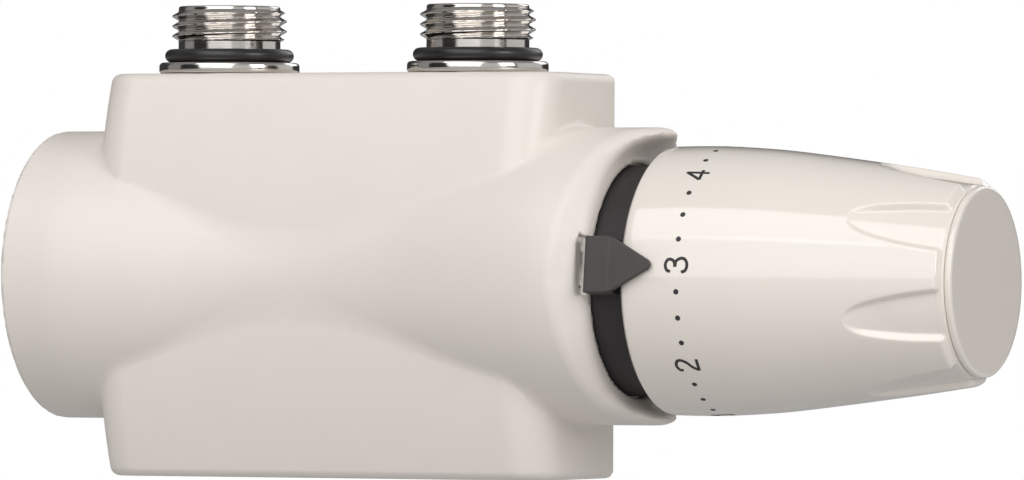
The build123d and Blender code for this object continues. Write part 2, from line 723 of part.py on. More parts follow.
POINTER_X = RECESS_X + 0.2
POINTER_BLOCK = 4.5
POINTER_TIP_X = 70.2
with BuildPart() as setting_pointer:
    half = POINTER_WIDTH / 2
    shoulder_x = POINTER_X + POINTER_BLOCK
    with BuildSketch(facing(POINTER_ANGLE).offset(POINTER_TOP_R - 1.0)):
        with BuildLine():
            Polyline(
                (POINTER_X, -half),
                (shoulder_x, -half),
                (POINTER_TIP_X, -0.7),
                (POINTER_TIP_X, 0.7),
                (shoulder_x, half),
                (POINTER_X, half),
                close=True,
            )
        make_face()
    extrude(amount=1.0)
    with BuildSketch(facing(POINTER_ANGLE).offset(HEAD_BASE_R - 1.5)):
        with Locations((POINTER_X + POINTER_BLOCK / 2, 0)):
            Rectangle(POINTER_BLOCK, POINTER_WIDTH)
    extrude(amount=POINTER_TOP_R - HEAD_BASE_R + 0.5)
    chamfer(edges().group_by(Axis.X)[0].filter_by(lambda e: e.length > 9)[-1], 0.9)
    with BuildSketch(Plane.YZ.offset(POINTER_X - 5)):
        Circle(HEAD_BASE_R)
    extrude(amount=30.0, mode=Mode.SUBTRACT)
setting_pointer.part.label = "setting_pointer"
export_step(setting_pointer.part, "parts/setting_pointer.step")

with BuildPart() as knob_snap_ring:
    with BuildSketch(Plane.YZ.offset(SNAP_X + SLIDING_GAP)):
        Circle(15.2)
        Circle(SLEEVE_R - SNAP_GROOVE + SLIDING_GAP, mode=Mode.SUBTRACT)
        with Locations((0, -14.0)):
            Rectangle(4.0, 6.0, mode=Mode.SUBTRACT)
    extrude(amount=SNAP_WIDTH - 2 * SLIDING_GAP)
knob_snap_ring.part.label = "knob_snap_ring"
export_step(knob_snap_ring.part, "parts/knob_snap_ring.step")

# Outside of the knob: a straight shoulder, then a long easy taper
LAND_OUTLINE = [(75.8, 24.0), (85.2, 23.4), (94.5, 22.35), (103.8, 21.15), (113.0, 19.9), (LAND_END_X, 18.5)]
FLOOR_START_R = 21.0
FLOOR_END_R = 17.3
DISC_BORE_R = 14.05
HALL_R = 21.3
HALL_END_X = 92.0
SENSOR_BORE_R = 16.0
SENSOR_BORE_X = 104.0
BEARING_X = (74.0, 77.0)
with BuildPart() as knob_shell:
    with BuildSketch(FRONT_HALF):
        with BuildLine():
            shoulder = Line((KNOB_X, 23.3), (KNOB_X + 0.8, 24.0))
            flat = Line(shoulder @ 1, (LAND_OUTLINE[0][0] - 6.0, 24.1))
            side = Spline(flat @ 1, *LAND_OUTLINE, tangents=(flat % 1, (1.0, -0.15)))
            Polyline(side @ 1, (LAND_END_X, 0), (KNOB_X, 0), shoulder @ 0)
        make_face()
    revolve(axis=Axis.X)
    # pointed grip recesses between the lands
    for k in range(RECESS_COUNT):
        angle = POINTER_ANGLE + 360 / RECESS_COUNT * (k + 0.5)
        with BuildSketch(facing(angle)):
            with BuildLine():
                upper = ThreePointArc((RECESS_TIP_X, 0), (RECESS_TIP_X + 6.5, 3.1), (LAND_END_X + 1, 4.9))
                Line(upper @ 1, (LAND_END_X + 1, -4.9))
                ThreePointArc((LAND_END_X + 1, -4.9), (RECESS_TIP_X + 6.5, -3.1), (RECESS_TIP_X, 0))
            make_face()
        extrude(amount=40.0, mode=Mode.SUBTRACT)
    # recess floor and end ring, one cone
    with BuildSketch(FRONT_HALF):
        with BuildLine():
            Polyline(
                (RECESS_TIP_X - 3.0, 0),
                (RECESS_TIP_X - 3.0, FLOOR_START_R),
                (RECESS_TIP_X, FLOOR_START_R - 0.05),
                (LAND_END_X, FLOOR_END_R),
                (KNOB_END_X - 0.2, FLOOR_END_R - 0.2),
                (KNOB_END_X, FLOOR_END_R - 0.5),
                (KNOB_END_X, 0),
                close=True,
            )
        make_face()
    revolve(axis=Axis.X)
    # inside: clearance over the base, bearing web, sensor thread and the pocket for the end disc
    with BuildSketch(FRONT_HALF):
        with BuildLine():
            Polyline(
                (KNOB_X - 1.0, 0),
                (KNOB_X - 1.0, 21.1),
                (68.0, 21.1),
                (BEARING_X[0], HALL_R),
                (BEARING_X[0], SLEEVE_R + 0.1),
                (BEARING_X[1], SLEEVE_R + 0.1),
                (BEARING_X[1], HALL_R),
                (86.0, 20.9),
                (HALL_END_X, 20.2),
                (HALL_END_X, SENSOR_BORE_R),
                (SENSOR_BORE_X, SENSOR_BORE_R),
                (SENSOR_BORE_X, 18.4),
                (114.0, 16.9),
                (120.0, 15.6),
                (120.0, DISC_BORE_R),
                (KNOB_END_X + 1.0, DISC_BORE_R),
                (KNOB_END_X + 1.0, 0),
                close=True,
            )
        make_face()
    revolve(axis=Axis.X, mode=Mode.SUBTRACT)
knob_shell.part.label = "knob_shell"
export_step(knob_shell.part, "parts/knob_shell.step")

PLUG_X = 119.0
PLUG_R = DISC_BORE_R - SLIDING_GAP
with BuildPart() as knob_end_disc:
    turn(
        [
            (PLUG_X, 0),
            (PLUG_X, PLUG_R - 0.5),
            (PLUG_X + 0.5, PLUG_R),
            (KNOB_END_X, PLUG_R),
            (KNOB_END_X, DISC_R),
            (DISC_END_X - 0.4, DISC_R),
            (DISC_END_X, DISC_R - 0.4),
            (DISC_END_X, 0),
        ]
    )
knob_end_disc.part.label = "knob_end_disc"
export_step(knob_end_disc.part, "parts/knob_end_disc.step")

CARRIER_X = 81.0
CARRIER_END_X = 112.0
CARRIER_R = 15.9
CAPSULE_X = 88.0
CAPSULE_END_X = 103.0
CAPSULE_R = 11.4
with BuildPart() as sensor_carrier:
    turn(
        [
            (CARRIER_X, SLEEVE_R + 0.1),
            (CARRIER_X, CARRIER_R),
            (CARRIER_END_X, CARRIER_R),
            (CARRIER_END_X, 0),
            (CARRIER_END_X - 2.0, 0),
            (CARRIER_END_X - 2.0, SLEEVE_R + 0.1),
        ]
    )
    # keys that run in the base's keyways
    for way in (-1, 1):
        with BuildSketch(Plane.XY.offset(way * 12.2)):
            with Locations((98.0, 0)):
                Rectangle(24.0, KEYWAY - 0.3)
        extrude(amount=way * 1.6)
sensor_carrier.part.label = "sensor_carrier"
export_step(sensor_carrier.part, "parts/sensor_carrier.step")

with BuildPart() as sensor_capsule:
    turn(
        [
            (CAPSULE_X, 3.0),
            (CAPSULE_X, CAPSULE_R - 0.8),
            (CAPSULE_X + 0.8, CAPSULE_R),
            (CAPSULE_END_X - 0.8, CAPSULE_R),
            (CAPSULE_END_X, CAPSULE_R - 0.8),
            (CAPSULE_END_X, 0),
            (CAPSULE_X + 4.0, 0),
            (CAPSULE_X + 4.0, 3.0),
        ]
    )
sensor_capsule.part.label = "sensor_capsule"
export_step(sensor_capsule.part, "parts/sensor_capsule.step")

with BuildPart() as sensor_plunger:
    turn([(PIN_TIP_X, 0), (PIN_TIP_X, PLUNGER_R), (CAPSULE_X + 4.0, PLUNGER_R), (CAPSULE_X + 4.0, 0)])
sensor_plunger.part.label = "sensor_plunger"
export_step(sensor_plunger.part, "parts/sensor_plunger.step")

overtravel_spring = coil(CAPSULE_END_X + 0.05, CARRIER_END_X - 2.1 - CAPSULE_END_X, 8.5, 1.2, 3)
overtravel_spring.part.label = "overtravel_spring"
export_step(overtravel_spring.part, "parts/overtravel_spring.step")
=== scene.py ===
import json
import math

import bmesh
import bpy
import numpy as np
from mathutils import Euler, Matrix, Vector


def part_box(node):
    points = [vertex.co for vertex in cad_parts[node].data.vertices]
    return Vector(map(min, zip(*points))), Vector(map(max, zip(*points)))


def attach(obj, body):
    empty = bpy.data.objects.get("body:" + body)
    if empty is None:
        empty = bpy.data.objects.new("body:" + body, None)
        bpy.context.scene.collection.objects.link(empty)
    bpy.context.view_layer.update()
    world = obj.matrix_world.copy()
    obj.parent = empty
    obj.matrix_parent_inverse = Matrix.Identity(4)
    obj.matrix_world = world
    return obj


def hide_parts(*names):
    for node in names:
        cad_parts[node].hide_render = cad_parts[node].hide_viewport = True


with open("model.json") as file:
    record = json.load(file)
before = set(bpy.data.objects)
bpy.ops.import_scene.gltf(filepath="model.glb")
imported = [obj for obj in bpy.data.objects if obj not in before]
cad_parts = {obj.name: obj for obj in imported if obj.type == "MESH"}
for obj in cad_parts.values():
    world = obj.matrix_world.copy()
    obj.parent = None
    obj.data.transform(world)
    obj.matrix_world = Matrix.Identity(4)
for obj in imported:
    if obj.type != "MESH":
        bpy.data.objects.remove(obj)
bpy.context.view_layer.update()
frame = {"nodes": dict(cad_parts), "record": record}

# Twin-connection radiator valve with a moulded cover and a thermostatic head.
# Meshes are worked out in millimetres and written in metres. X runs along the valve's axis towards
# the head, -Y is the front and +Z is up into the radiator.

MM = 0.001
SIDES = ("left", "right")


def low(node):
    """Lowest corner of a frame node, in millimetres."""
    return np.array(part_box(node)[0]) / MM


def high(node):
    """Highest corner of a frame node, in millimetres."""
    return np.array(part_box(node)[1]) / MM


# ---- Camera, light and floor ----

CAMERA_PLACE = (0.7901, -1.6469, 0.0)
CAMERA_LENS = 353.7
CAMERA_YAW = 24.72
CAMERA_PITCH = 0.23
CAMERA_ROLL = 0.2


def turned_by(x, y, z):
    """Rotation matrix from angles in degrees."""
    return Euler((math.radians(x), math.radians(y), math.radians(z)), "XYZ").to_matrix()


def place_camera():
    """A long lens at the height of the valve's axis."""
    data = bpy.data.cameras.new("studio_camera")
    data.lens = CAMERA_LENS
    data.sensor_width = 36.0
    data.clip_start = 0.05
    data.clip_end = 20.0
    camera = bpy.data.objects.new("studio_camera", data)
    camera.location = CAMERA_PLACE
    camera.rotation_mode = "XYZ"
    aim = turned_by(0, 0, CAMERA_YAW) @ turned_by(90 + CAMERA_PITCH, 0, 0)
    camera.rotation_euler = (aim @ turned_by(0, 0, CAMERA_ROLL)).to_euler("XYZ")
    bpy.context.scene.collection.objects.link(camera)
    bpy.context.scene.camera = camera


def softbox(name, place, target, size, power):
    """A rectangular studio light that faces a target."""
    data = bpy.data.lights.new(name, "AREA")
    data.shape = "RECTANGLE"
    data.size, data.size_y = size
    data.energy = power
    light = bpy.data.objects.new(name, data)
    light.location = place
    light.rotation_euler = (Vector(target) - Vector(place)).to_track_quat("-Z", "Y").to_euler()
    light.visible_camera = False
    bpy.context.scene.collection.objects.link(light)


def node(tree, kind, place=(0, 0), **values):
    """Add a shader or geometry node; values set its properties or its input sockets by name."""
    made = tree.nodes.new(kind)
    made.location = place
    for key, value in values.items():
        if hasattr(made, key):
            setattr(made, key, value)
        else:
            made.inputs[key.replace("_", " ")].default_value = value
    return made


def join(source, output, target, entry):
    """Link one node's output to another node's input."""
    source.id_data.links.new(source.outputs[output], target.inputs[entry])


def ramp(tree, stops, place):
    """Ramp of greys from (position, grey) stops."""
    made = tree.nodes.new("ShaderNodeValToRGB")
    made.location = place
    elements = made.color_ramp.elements
    while len(elements) < len(stops):
        elements.new(0.5)
    for element, (position, grey) in zip(elements, stops):
        element.position = position
        element.color = (grey, grey, grey, 1.0)
    return made


# Bright and dark cards round the object, as (share of a full turn, grey).
AZIMUTH_TONES = [
    (0.0, 0.05), (0.16, 0.05), (0.172, 0.3), (0.253, 0.32), (0.26, 0.03), (0.361, 0.03), (0.372, 0.6),
    (0.5, 0.7), (0.63, 0.6), (0.639, 0.03), (0.68, 0.03), (0.69, 0.65), (0.85, 0.68), (0.865, 0.04),
    (1.0, 0.05),
]
SKY_TONES = [(0.0, 0.05), (0.45, 0.1), (0.6, 0.22), (1.0, 0.36)]
# The cards fade into the sky between these two heights, as sines of the angle up.
CARDS_END, SKY_START = 0.35, 0.6
# Each softbox: name, place, the point it faces, its two sides and its power in watts.
SOFTBOXES = [
    ("key_softbox", (-0.1, -1.49, 1.71), (0.03, 0, 0), (2.4, 1.13), 18.0),
    ("front_softbox", (0.1, -2.4, 0.9), (0.03, 0, 0), (2.8, 1.6), 20.0),
    ("side_softbox", (2.2, -0.6, 0.7), (0.1, 0, 0), (1.0, 1.0), 17.0),
    ("back_softbox", (0.5, 2.3, 1.0), (0.03, 0, 0), (1.6, 1.2), 9.0),
]


def light_studio():
    """White surroundings, a sky of bright and dark cards for the metal, and four softboxes."""
    world = bpy.data.worlds.new("studio_surroundings")
    bpy.context.scene.world = world
    world.use_nodes = True
    tree = world.node_tree
    tree.nodes.clear()
    out = node(tree, "ShaderNodeOutputWorld", (900, 0))
    path = node(tree, "ShaderNodeLightPath", (300, 300))
    direction = node(tree, "ShaderNodeTexCoord", (-900, 0))
    turned = node(tree, "ShaderNodeVectorRotate", (-700, 0), rotation_type="Z_AXIS")
    turned.inputs["Angle"].default_value = math.atan2(-CAMERA_PLACE[1], CAMERA_PLACE[0])
    parts = node(tree, "ShaderNodeSeparateXYZ", (-500, 0))
    azimuth = node(tree, "ShaderNodeMath", (-300, 100), operation="ARCTAN2")
    share = node(tree, "ShaderNodeMapRange", (-100, 100))
    share.inputs["From Min"].default_value = -math.pi
    share.inputs["From Max"].default_value = math.pi
    cards = ramp(tree, AZIMUTH_TONES, (100, 100))
    height = node(tree, "ShaderNodeMapRange", (-100, -200))
    height.inputs["From Min"].default_value = -1.0
    height.inputs["From Max"].default_value = 1.0
    sky = ramp(tree, SKY_TONES, (100, -200))
    band = node(tree, "ShaderNodeMapRange", (-100, -450))
    band.inputs["From Min"].default_value = CARDS_END
    band.inputs["From Max"].default_value = SKY_START
    size = node(tree, "ShaderNodeMath", (-300, -450), operation="ABSOLUTE")
    mixed = node(tree, "ShaderNodeMix", (400, 0), data_type="RGBA")
    pick = node(tree, "ShaderNodeMix", (550, 0), data_type="RGBA")
    indirect = node(tree, "ShaderNodeBackground", (700, -100), Strength=1.0)
    seen = node(tree, "ShaderNodeBackground", (700, 100), Strength=1.0)
    seen.inputs["Color"].default_value = (1.0, 1.0, 1.0, 1.0)
    choose = node(tree, "ShaderNodeMixShader", (800, 0))
    join(direction, "Generated", turned, "Vector")
    join(turned, "Vector", parts, "Vector")
    join(parts, "Y", azimuth, 0)
    join(parts, "X", azimuth, 1)
    join(azimuth, "Value", share, "Value")
    join(share, "Result", cards, "Fac")
    join(parts, "Z", height, "Value")
    join(height, "Result", sky, "Fac")
    join(parts, "Z", size, 0)
    join(size, "Value", band, "Value")
    join(band, "Result", mixed, "Factor")
    join(cards, "Color", mixed, "A")
    join(sky, "Color", mixed, "B")
    join(path, "Is Glossy Ray", pick, "Factor")
    join(sky, "Color", pick, "A")
    join(mixed, "Result", pick, "B")
    join(pick, "Result", indirect, "Color")
    join(path, "Is Camera Ray", choose, "Fac")
    join(indirect, "Background", choose, 1)
    join(seen, "Background", choose, 2)
    join(choose, "Shader", out, "Surface")
    for values in SOFTBOXES:
        softbox(*values)
    scene = bpy.context.scene
    scene.view_settings.view_transform = "Standard"
    scene.view_settings.look = "None"


def lay_floor():
    """A plain pale floor under the object."""
    size, drop = 3.0, -0.16
    corners = [(-size, -size, drop), (size, -size, drop), (size, size, drop), (-size, size, drop)]
    mesh = bpy.data.meshes.new("studio_floor")
    mesh.from_pydata(corners, [], [(0, 1, 2, 3)])
    floor = bpy.data.objects.new("studio_floor", mesh)
    bpy.context.scene.collection.objects.link(floor)
    paint = bpy.data.materials.new("pale_floor")
    paint.use_nodes = True
    surface = paint.node_tree.nodes["Principled BSDF"]
    surface.inputs["Base Color"].default_value = (0.56, 0.56, 0.56, 1)
    surface.inputs["Roughness"].default_value = 0.9
    mesh.materials.append(paint)


# ---- Finishes ----


def start_group(name, inputs, outputs):
    """A shader node group with named inputs (name, default) and outputs (name, kind)."""
    tree = bpy.data.node_groups.new(name, "ShaderNodeTree")
    for label, value in inputs:
        kind = "NodeSocketColor" if hasattr(value, "__len__") else "NodeSocketFloat"
        socket = tree.interface.new_socket(name=label, in_out="INPUT", socket_type=kind)
        socket.default_value = (*value, 1.0) if hasattr(value, "__len__") else value
    for label, kind in outputs:
        tree.interface.new_socket(name=label, in_out="OUTPUT", socket_type=kind)
    return tree, node(tree, "NodeGroupInput", (-1000, 0)), node(tree, "NodeGroupOutput", (800, 0))


def moulded_grain_group():
    """Spark-eroded mould grain: fine pits over a slow swell, with a faint change of colour."""
    tree, given, put = start_group(
        "moulded_grain",
        [("Scale", 2600.0), ("Swell Scale", 60.0), ("Tone", (0.8, 0.8, 0.8)), ("Shade", (0.7, 0.7, 0.7)),
         ("Roughness", 0.4), ("Roughness Spread", 0.08)],
        [("Color", "NodeSocketColor"), ("Roughness", "NodeSocketFloat"), ("Height", "NodeSocketFloat")],
    )
    where = node(tree, "ShaderNodeTexCoord", (-1000, 300))
    fine = node(tree, "ShaderNodeTexNoise", (-700, 300), Detail=3.0, Roughness=0.6)
    pits = node(tree, "ShaderNodeTexVoronoi", (-700, 50))
    slow = node(tree, "ShaderNodeTexNoise", (-700, -250), Detail=4.0, Roughness=0.55)
    for texture in (fine, pits, slow):
        join(where, "Object", texture, "Vector")
    for texture in (fine, pits):
        join(given, "Scale", texture, "Scale")
    join(given, "Swell Scale", slow, "Scale")
    both = node(tree, "ShaderNodeMath", (-400, 200), operation="MULTIPLY_ADD")
    both.inputs[1].default_value = 0.5
    join(pits, "Distance", both, 0)
    join(fine, "Fac", both, 2)
    join(both, "Value", put, "Height")
    spread = node(tree, "ShaderNodeMath", (-400, -50), operation="MULTIPLY_ADD")
    centred = node(tree, "ShaderNodeMath", (-550, -100), operation="SUBTRACT")
    centred.inputs[1].default_value = 0.5
    join(slow, "Fac", centred, 0)
    join(centred, "Value", spread, 0)
    join(given, "Roughness Spread", spread, 1)
    join(given, "Roughness", spread, 2)
    join(spread, "Value", put, "Roughness")
    shift = node(tree, "ShaderNodeMapRange", (-400, -300))
    shift.inputs["From Min"].default_value = 0.35
    shift.inputs["From Max"].default_value = 0.7
    join(slow, "Fac", shift, "Value")
    mix = node(tree, "ShaderNodeMix", (0, -200), data_type="RGBA")
    join(shift, "Result", mix, "Factor")
    join(given, "Tone", mix, "A")
    join(given, "Shade", mix, "B")
    join(mix, "Result", put, "Color")
    return tree


def turned_lines_group():
    """Marks that a lathe tool leaves along one direction, with smudges and a slow change of tone."""
    tree, given, put = start_group(
        "turned_lines",
        [("Pitch X", 1.0), ("Pitch Y", 1.0), ("Pitch Z", 1.0), ("Fineness", 9000.0),
         ("Tone", (0.7, 0.7, 0.7)), ("Shade", (0.6, 0.6, 0.6)), ("Roughness", 0.15),
         ("Roughness Spread", 0.1)],
        [("Color", "NodeSocketColor"), ("Roughness", "NodeSocketFloat"), ("Height", "NodeSocketFloat")],
    )
    where = node(tree, "ShaderNodeTexCoord", (-1000, 300))
    stretch = node(tree, "ShaderNodeCombineXYZ", (-850, 100))
    for axis in "XYZ":
        join(given, f"Pitch {axis}", stretch, axis)
    scaled = node(tree, "ShaderNodeVectorMath", (-700, 200), operation="MULTIPLY")
    join(where, "Object", scaled, 0)
    join(stretch, "Vector", scaled, 1)
    lines = node(tree, "ShaderNodeTexNoise", (-500, 250), Detail=2.0, Roughness=0.7)
    join(scaled, "Vector", lines, "Vector")
    join(given, "Fineness", lines, "Scale")
    smudge = node(tree, "ShaderNodeTexNoise", (-500, -100), Scale=140.0, Detail=5.0, Roughness=0.6)
    join(where, "Object", smudge, "Vector")
    join(lines, "Fac", put, "Height")
    total = node(tree, "ShaderNodeMath", (-250, 0), operation="ADD")
    join(lines, "Fac", total, 0)
    join(smudge, "Fac", total, 1)
    centred = node(tree, "ShaderNodeMath", (-100, 0), operation="SUBTRACT")
    centred.inputs[1].default_value = 1.0
    join(total, "Value", centred, 0)
    spread = node(tree, "ShaderNodeMath", (100, 0), operation="MULTIPLY_ADD")
    join(centred, "Value", spread, 0)
    join(given, "Roughness Spread", spread, 1)
    join(given, "Roughness", spread, 2)
    clamp = node(tree, "ShaderNodeClamp", (250, 0), Min=0.03, Max=1.0)
    join(spread, "Value", clamp, "Value")
    join(clamp, "Result", put, "Roughness")
    shift = node(tree, "ShaderNodeMapRange", (-250, -300))
    shift.inputs["From Min"].default_value = 0.3
    shift.inputs["From Max"].default_value = 0.75
    join(smudge, "Fac", shift, "Value")
    mix = node(tree, "ShaderNodeMix", (100, -250), data_type="RGBA")
    join(shift, "Result", mix, "Factor")
    join(given, "Tone", mix, "A")
    join(given, "Shade", mix, "B")
    join(mix, "Result", put, "Color")
    return tree


def finish_material(name, group, values, bump, bump_distance, **shader):
    """A material whose colour, roughness and bump come from a shared group."""
    material = bpy.data.materials.new(name)
    material.use_nodes = True
    tree = material.node_tree
    skin = tree.nodes["Principled BSDF"]
    effect = node(tree, "ShaderNodeGroup", (-500, 0))
    effect.node_tree = group
    for label, value in values.items():
        effect.inputs[label].default_value = (*value, 1.0) if hasattr(value, "__len__") else value
    relief = node(tree, "ShaderNodeBump", (-250, -250), Strength=bump, Distance=bump_distance)
    join(effect, "Height", relief, "Height")
    join(relief, "Normal", skin, "Normal")
    join(effect, "Color", skin, "Base Color")
    join(effect, "Roughness", skin, "Roughness")
    for label, value in shader.items():
        skin.inputs[label.replace("_", " ")].default_value = value
    return material


def mix_finishes():
    """Every slot's finish by name, and three more: dark ring, dial print and duller nickel."""
    grain = moulded_grain_group()
    turned = turned_lines_group()
    made = {}

    def plastic(name, tone, shade, rough, scale, bump, distance=0.00002, **shader):
        values = {"Tone": tone, "Shade": shade, "Roughness": rough, "Scale": scale}
        made[name] = finish_material(name, grain, values, bump, distance, **shader)

    def metal(name, tone, shade, rough, spread, pitch, bump):
        values = {"Tone": tone, "Shade": shade, "Roughness": rough, "Roughness Spread": spread}
        values.update({f"Pitch {axis}": share for axis, share in zip("XYZ", pitch)})
        made[name] = finish_material(name, turned, values, bump, 0.00001, Metallic=1.0)

    plastic("white_cover_plastic", (0.86, 0.795, 0.735), (0.845, 0.78, 0.72), 0.42, 2600.0, 0.35,
            Coat_Weight=0.05)
    plastic("glossy_white_plastic", (0.9, 0.835, 0.765), (0.89, 0.825, 0.755), 0.13, 900.0, 0.04,
            Coat_Weight=0.6, Coat_Roughness=0.06)
    plastic("inner_white_plastic", (0.7, 0.7, 0.67), (0.66, 0.66, 0.63), 0.5, 1500.0, 0.3)
    plastic("dark_grey_plastic", (0.072, 0.064, 0.062), (0.058, 0.051, 0.049), 0.6, 3800.0, 0.8, 0.00004)
    plastic("dark_ring_plastic", (0.03, 0.026, 0.026), (0.018, 0.016, 0.016), 0.65, 3800.0, 1.0, 0.00005)
    plastic("dial_print", (0.022, 0.02, 0.021), (0.035, 0.032, 0.032), 0.55, 2500.0, 0.3)
    plastic("black_rubber", (0.012, 0.012, 0.012), (0.02, 0.02, 0.02), 0.33, 1200.0, 0.15)
    plastic("grey_fibre_seal", (0.2, 0.22, 0.22), (0.12, 0.13, 0.13), 0.85, 1800.0, 1.0, 0.00006)
    upright, along, any_way = (0.02, 0.02, 1.0), (1.0, 0.02, 0.02), (0.4, 0.4, 0.4)
    metal("nickel_plate", (0.70, 0.665, 0.63), (0.60, 0.57, 0.54), 0.12, 0.12, upright, 0.12)
    metal("nickel_plate_along", (0.66, 0.64, 0.61), (0.56, 0.54, 0.51), 0.24, 0.16, any_way, 0.2)
    metal("bare_brass", (0.75, 0.55, 0.26), (0.6, 0.42, 0.19), 0.28, 0.2, along, 0.2)
    metal("stainless_steel", (0.6, 0.6, 0.6), (0.5, 0.5, 0.5), 0.25, 0.15, along, 0.2)
    return made


# ---- Mesh building ----


def write_mesh(name, points, faces, material, normals=None, sharp=None):
    """A mesh object at the origin from points in millimetres."""
    mesh = bpy.data.meshes.new(name)
    mesh.from_pydata((np.asarray(points) * MM).tolist(), [], np.asarray(faces).tolist())
    mesh.materials.append(material)
    mesh.polygons.foreach_set("use_smooth", np.ones(len(mesh.polygons), bool))
    mesh.update()
    if sharp is not None:
        mesh.set_sharp_from_angle(angle=math.radians(sharp))
    if normals is not None:
        mesh.normals_split_custom_set_from_vertices(np.asarray(normals).tolist())
    made = bpy.data.objects.new(name, mesh)
    bpy.context.scene.collection.objects.link(made)
    return made


def grid_faces(rows, columns):
    """Quads of a grid that closes on itself both along its rows and across them."""
    i = np.arange(rows)[:, None]
    j = np.arange(columns)[None, :]
    ahead, aside = (i + 1) % rows, (j + 1) % columns
    corners = (i * columns + j, i * columns + aside, ahead * columns + aside, ahead * columns + j)
    return np.stack(np.broadcast_arrays(*corners), -1).reshape(-1, 4)


CORNER_POINTS = 4
LEG_SHARE = 0.45


def round_corners(outline, radius):
    """Round a closed (along, radius) outline's corners, from this far before to this far after each."""
    made = []
    total = len(outline)
    for k in range(total):
        before, here, after = (np.array(outline[(k + d) % total], float) for d in (-1, 0, 1))
        into, out = before - here, after - here
        length = min(radius, LEG_SHARE * np.linalg.norm(into), LEG_SHARE * np.linalg.norm(out))
        start = here + into / np.linalg.norm(into) * length
        end = here + out / np.linalg.norm(out) * length
        shares = np.linspace(0, 1, CORNER_POINTS) if length > 0.001 else [0.5]
        for t in shares:
            made.append((1 - t) ** 2 * start + 2 * t * (1 - t) * here + t**2 * end)
    return np.array(made)


def around(along, radius, angle, axis, centre):
    """Points at a distance along an axis, a radius from it and an angle round it."""
    along, radius, angle = np.broadcast_arrays(along, radius, angle)
    side, rise = radius * np.cos(angle), radius * np.sin(angle)
    if axis == "X":
        parts = (along, centre[1] - side, centre[2] + rise)
    elif axis == "Y":
        parts = (centre[0] + rise, along, centre[2] + side)
    else:
        parts = (centre[0] + side, centre[1] + rise, along)
    return np.stack(parts, -1)


def full_turn(columns):
    """The angles of a ring's columns, as one row."""
    return np.linspace(0, 2 * math.pi, columns, endpoint=False)[None, :]


def outward(points, faces):
    """Turn the faces round if the closed mesh they make is inside out."""
    a, b, c = (points[faces[:, k]] for k in (0, 1, 2))
    volume = np.einsum("ij,ij->i", a, np.cross(b, c)).sum()
    if faces.shape[1] == 4:
        d = points[faces[:, 3]]
        volume += np.einsum("ij,ij->i", a, np.cross(c, d)).sum()
    return faces if volume > 0 else faces[:, ::-1]


def wrap(name, along, radius, angle, axis, centre, material, sharp):
    """Closed skin from a grid of rows round an axis; the rows close on themselves."""
    points = around(along, radius, angle, axis, centre)
    rows, columns = points.shape[:2]
    flat = points.reshape(-1, 3)
    return write_mesh(name, flat, outward(flat, grid_faces(rows, columns)), material, sharp=sharp)


def wrap_rings(name, rings, angle, axis, centre, material, sharp):
    """Closed skin from rings, each a place along the axis with one radius or a row of them."""
    along = np.array([[place] for place, radius in rings])
    radius = np.array([np.broadcast_to(radius, angle.shape)[0] for place, radius in rings])
    return wrap(name, along, radius, angle, axis, centre, material, sharp)


def soft_max(a, b, r):
    """Where two sides meet, rounded to radius r."""
    return np.minimum(np.maximum(a, b), -r) + np.hypot(np.maximum(a + r, 0), np.maximum(b + r, 0))


def soft_min(a, b, r):
    """Where two bodies join, filleted to radius r."""
    return -soft_max(-a, -b, r)


def slope_of(field, p, step=0.03):
    """Gradient of a distance field at points."""
    columns = []
    for k in range(3):
        offset = np.zeros(3)
        offset[k] = step
        columns.append((field(*(p + offset).T) - field(*(p - offset).T)) / (2 * step))
    return np.stack(columns, -1)


CELL_CORNERS = np.array([(i, j, k) for i in (0, 1) for j in (0, 1) for k in (0, 1)])
CELL_EDGES = [
    (a, b) for a in range(8) for b in range(a + 1, 8) if np.abs(CELL_CORNERS[a] - CELL_CORNERS[b]).sum() == 1
]


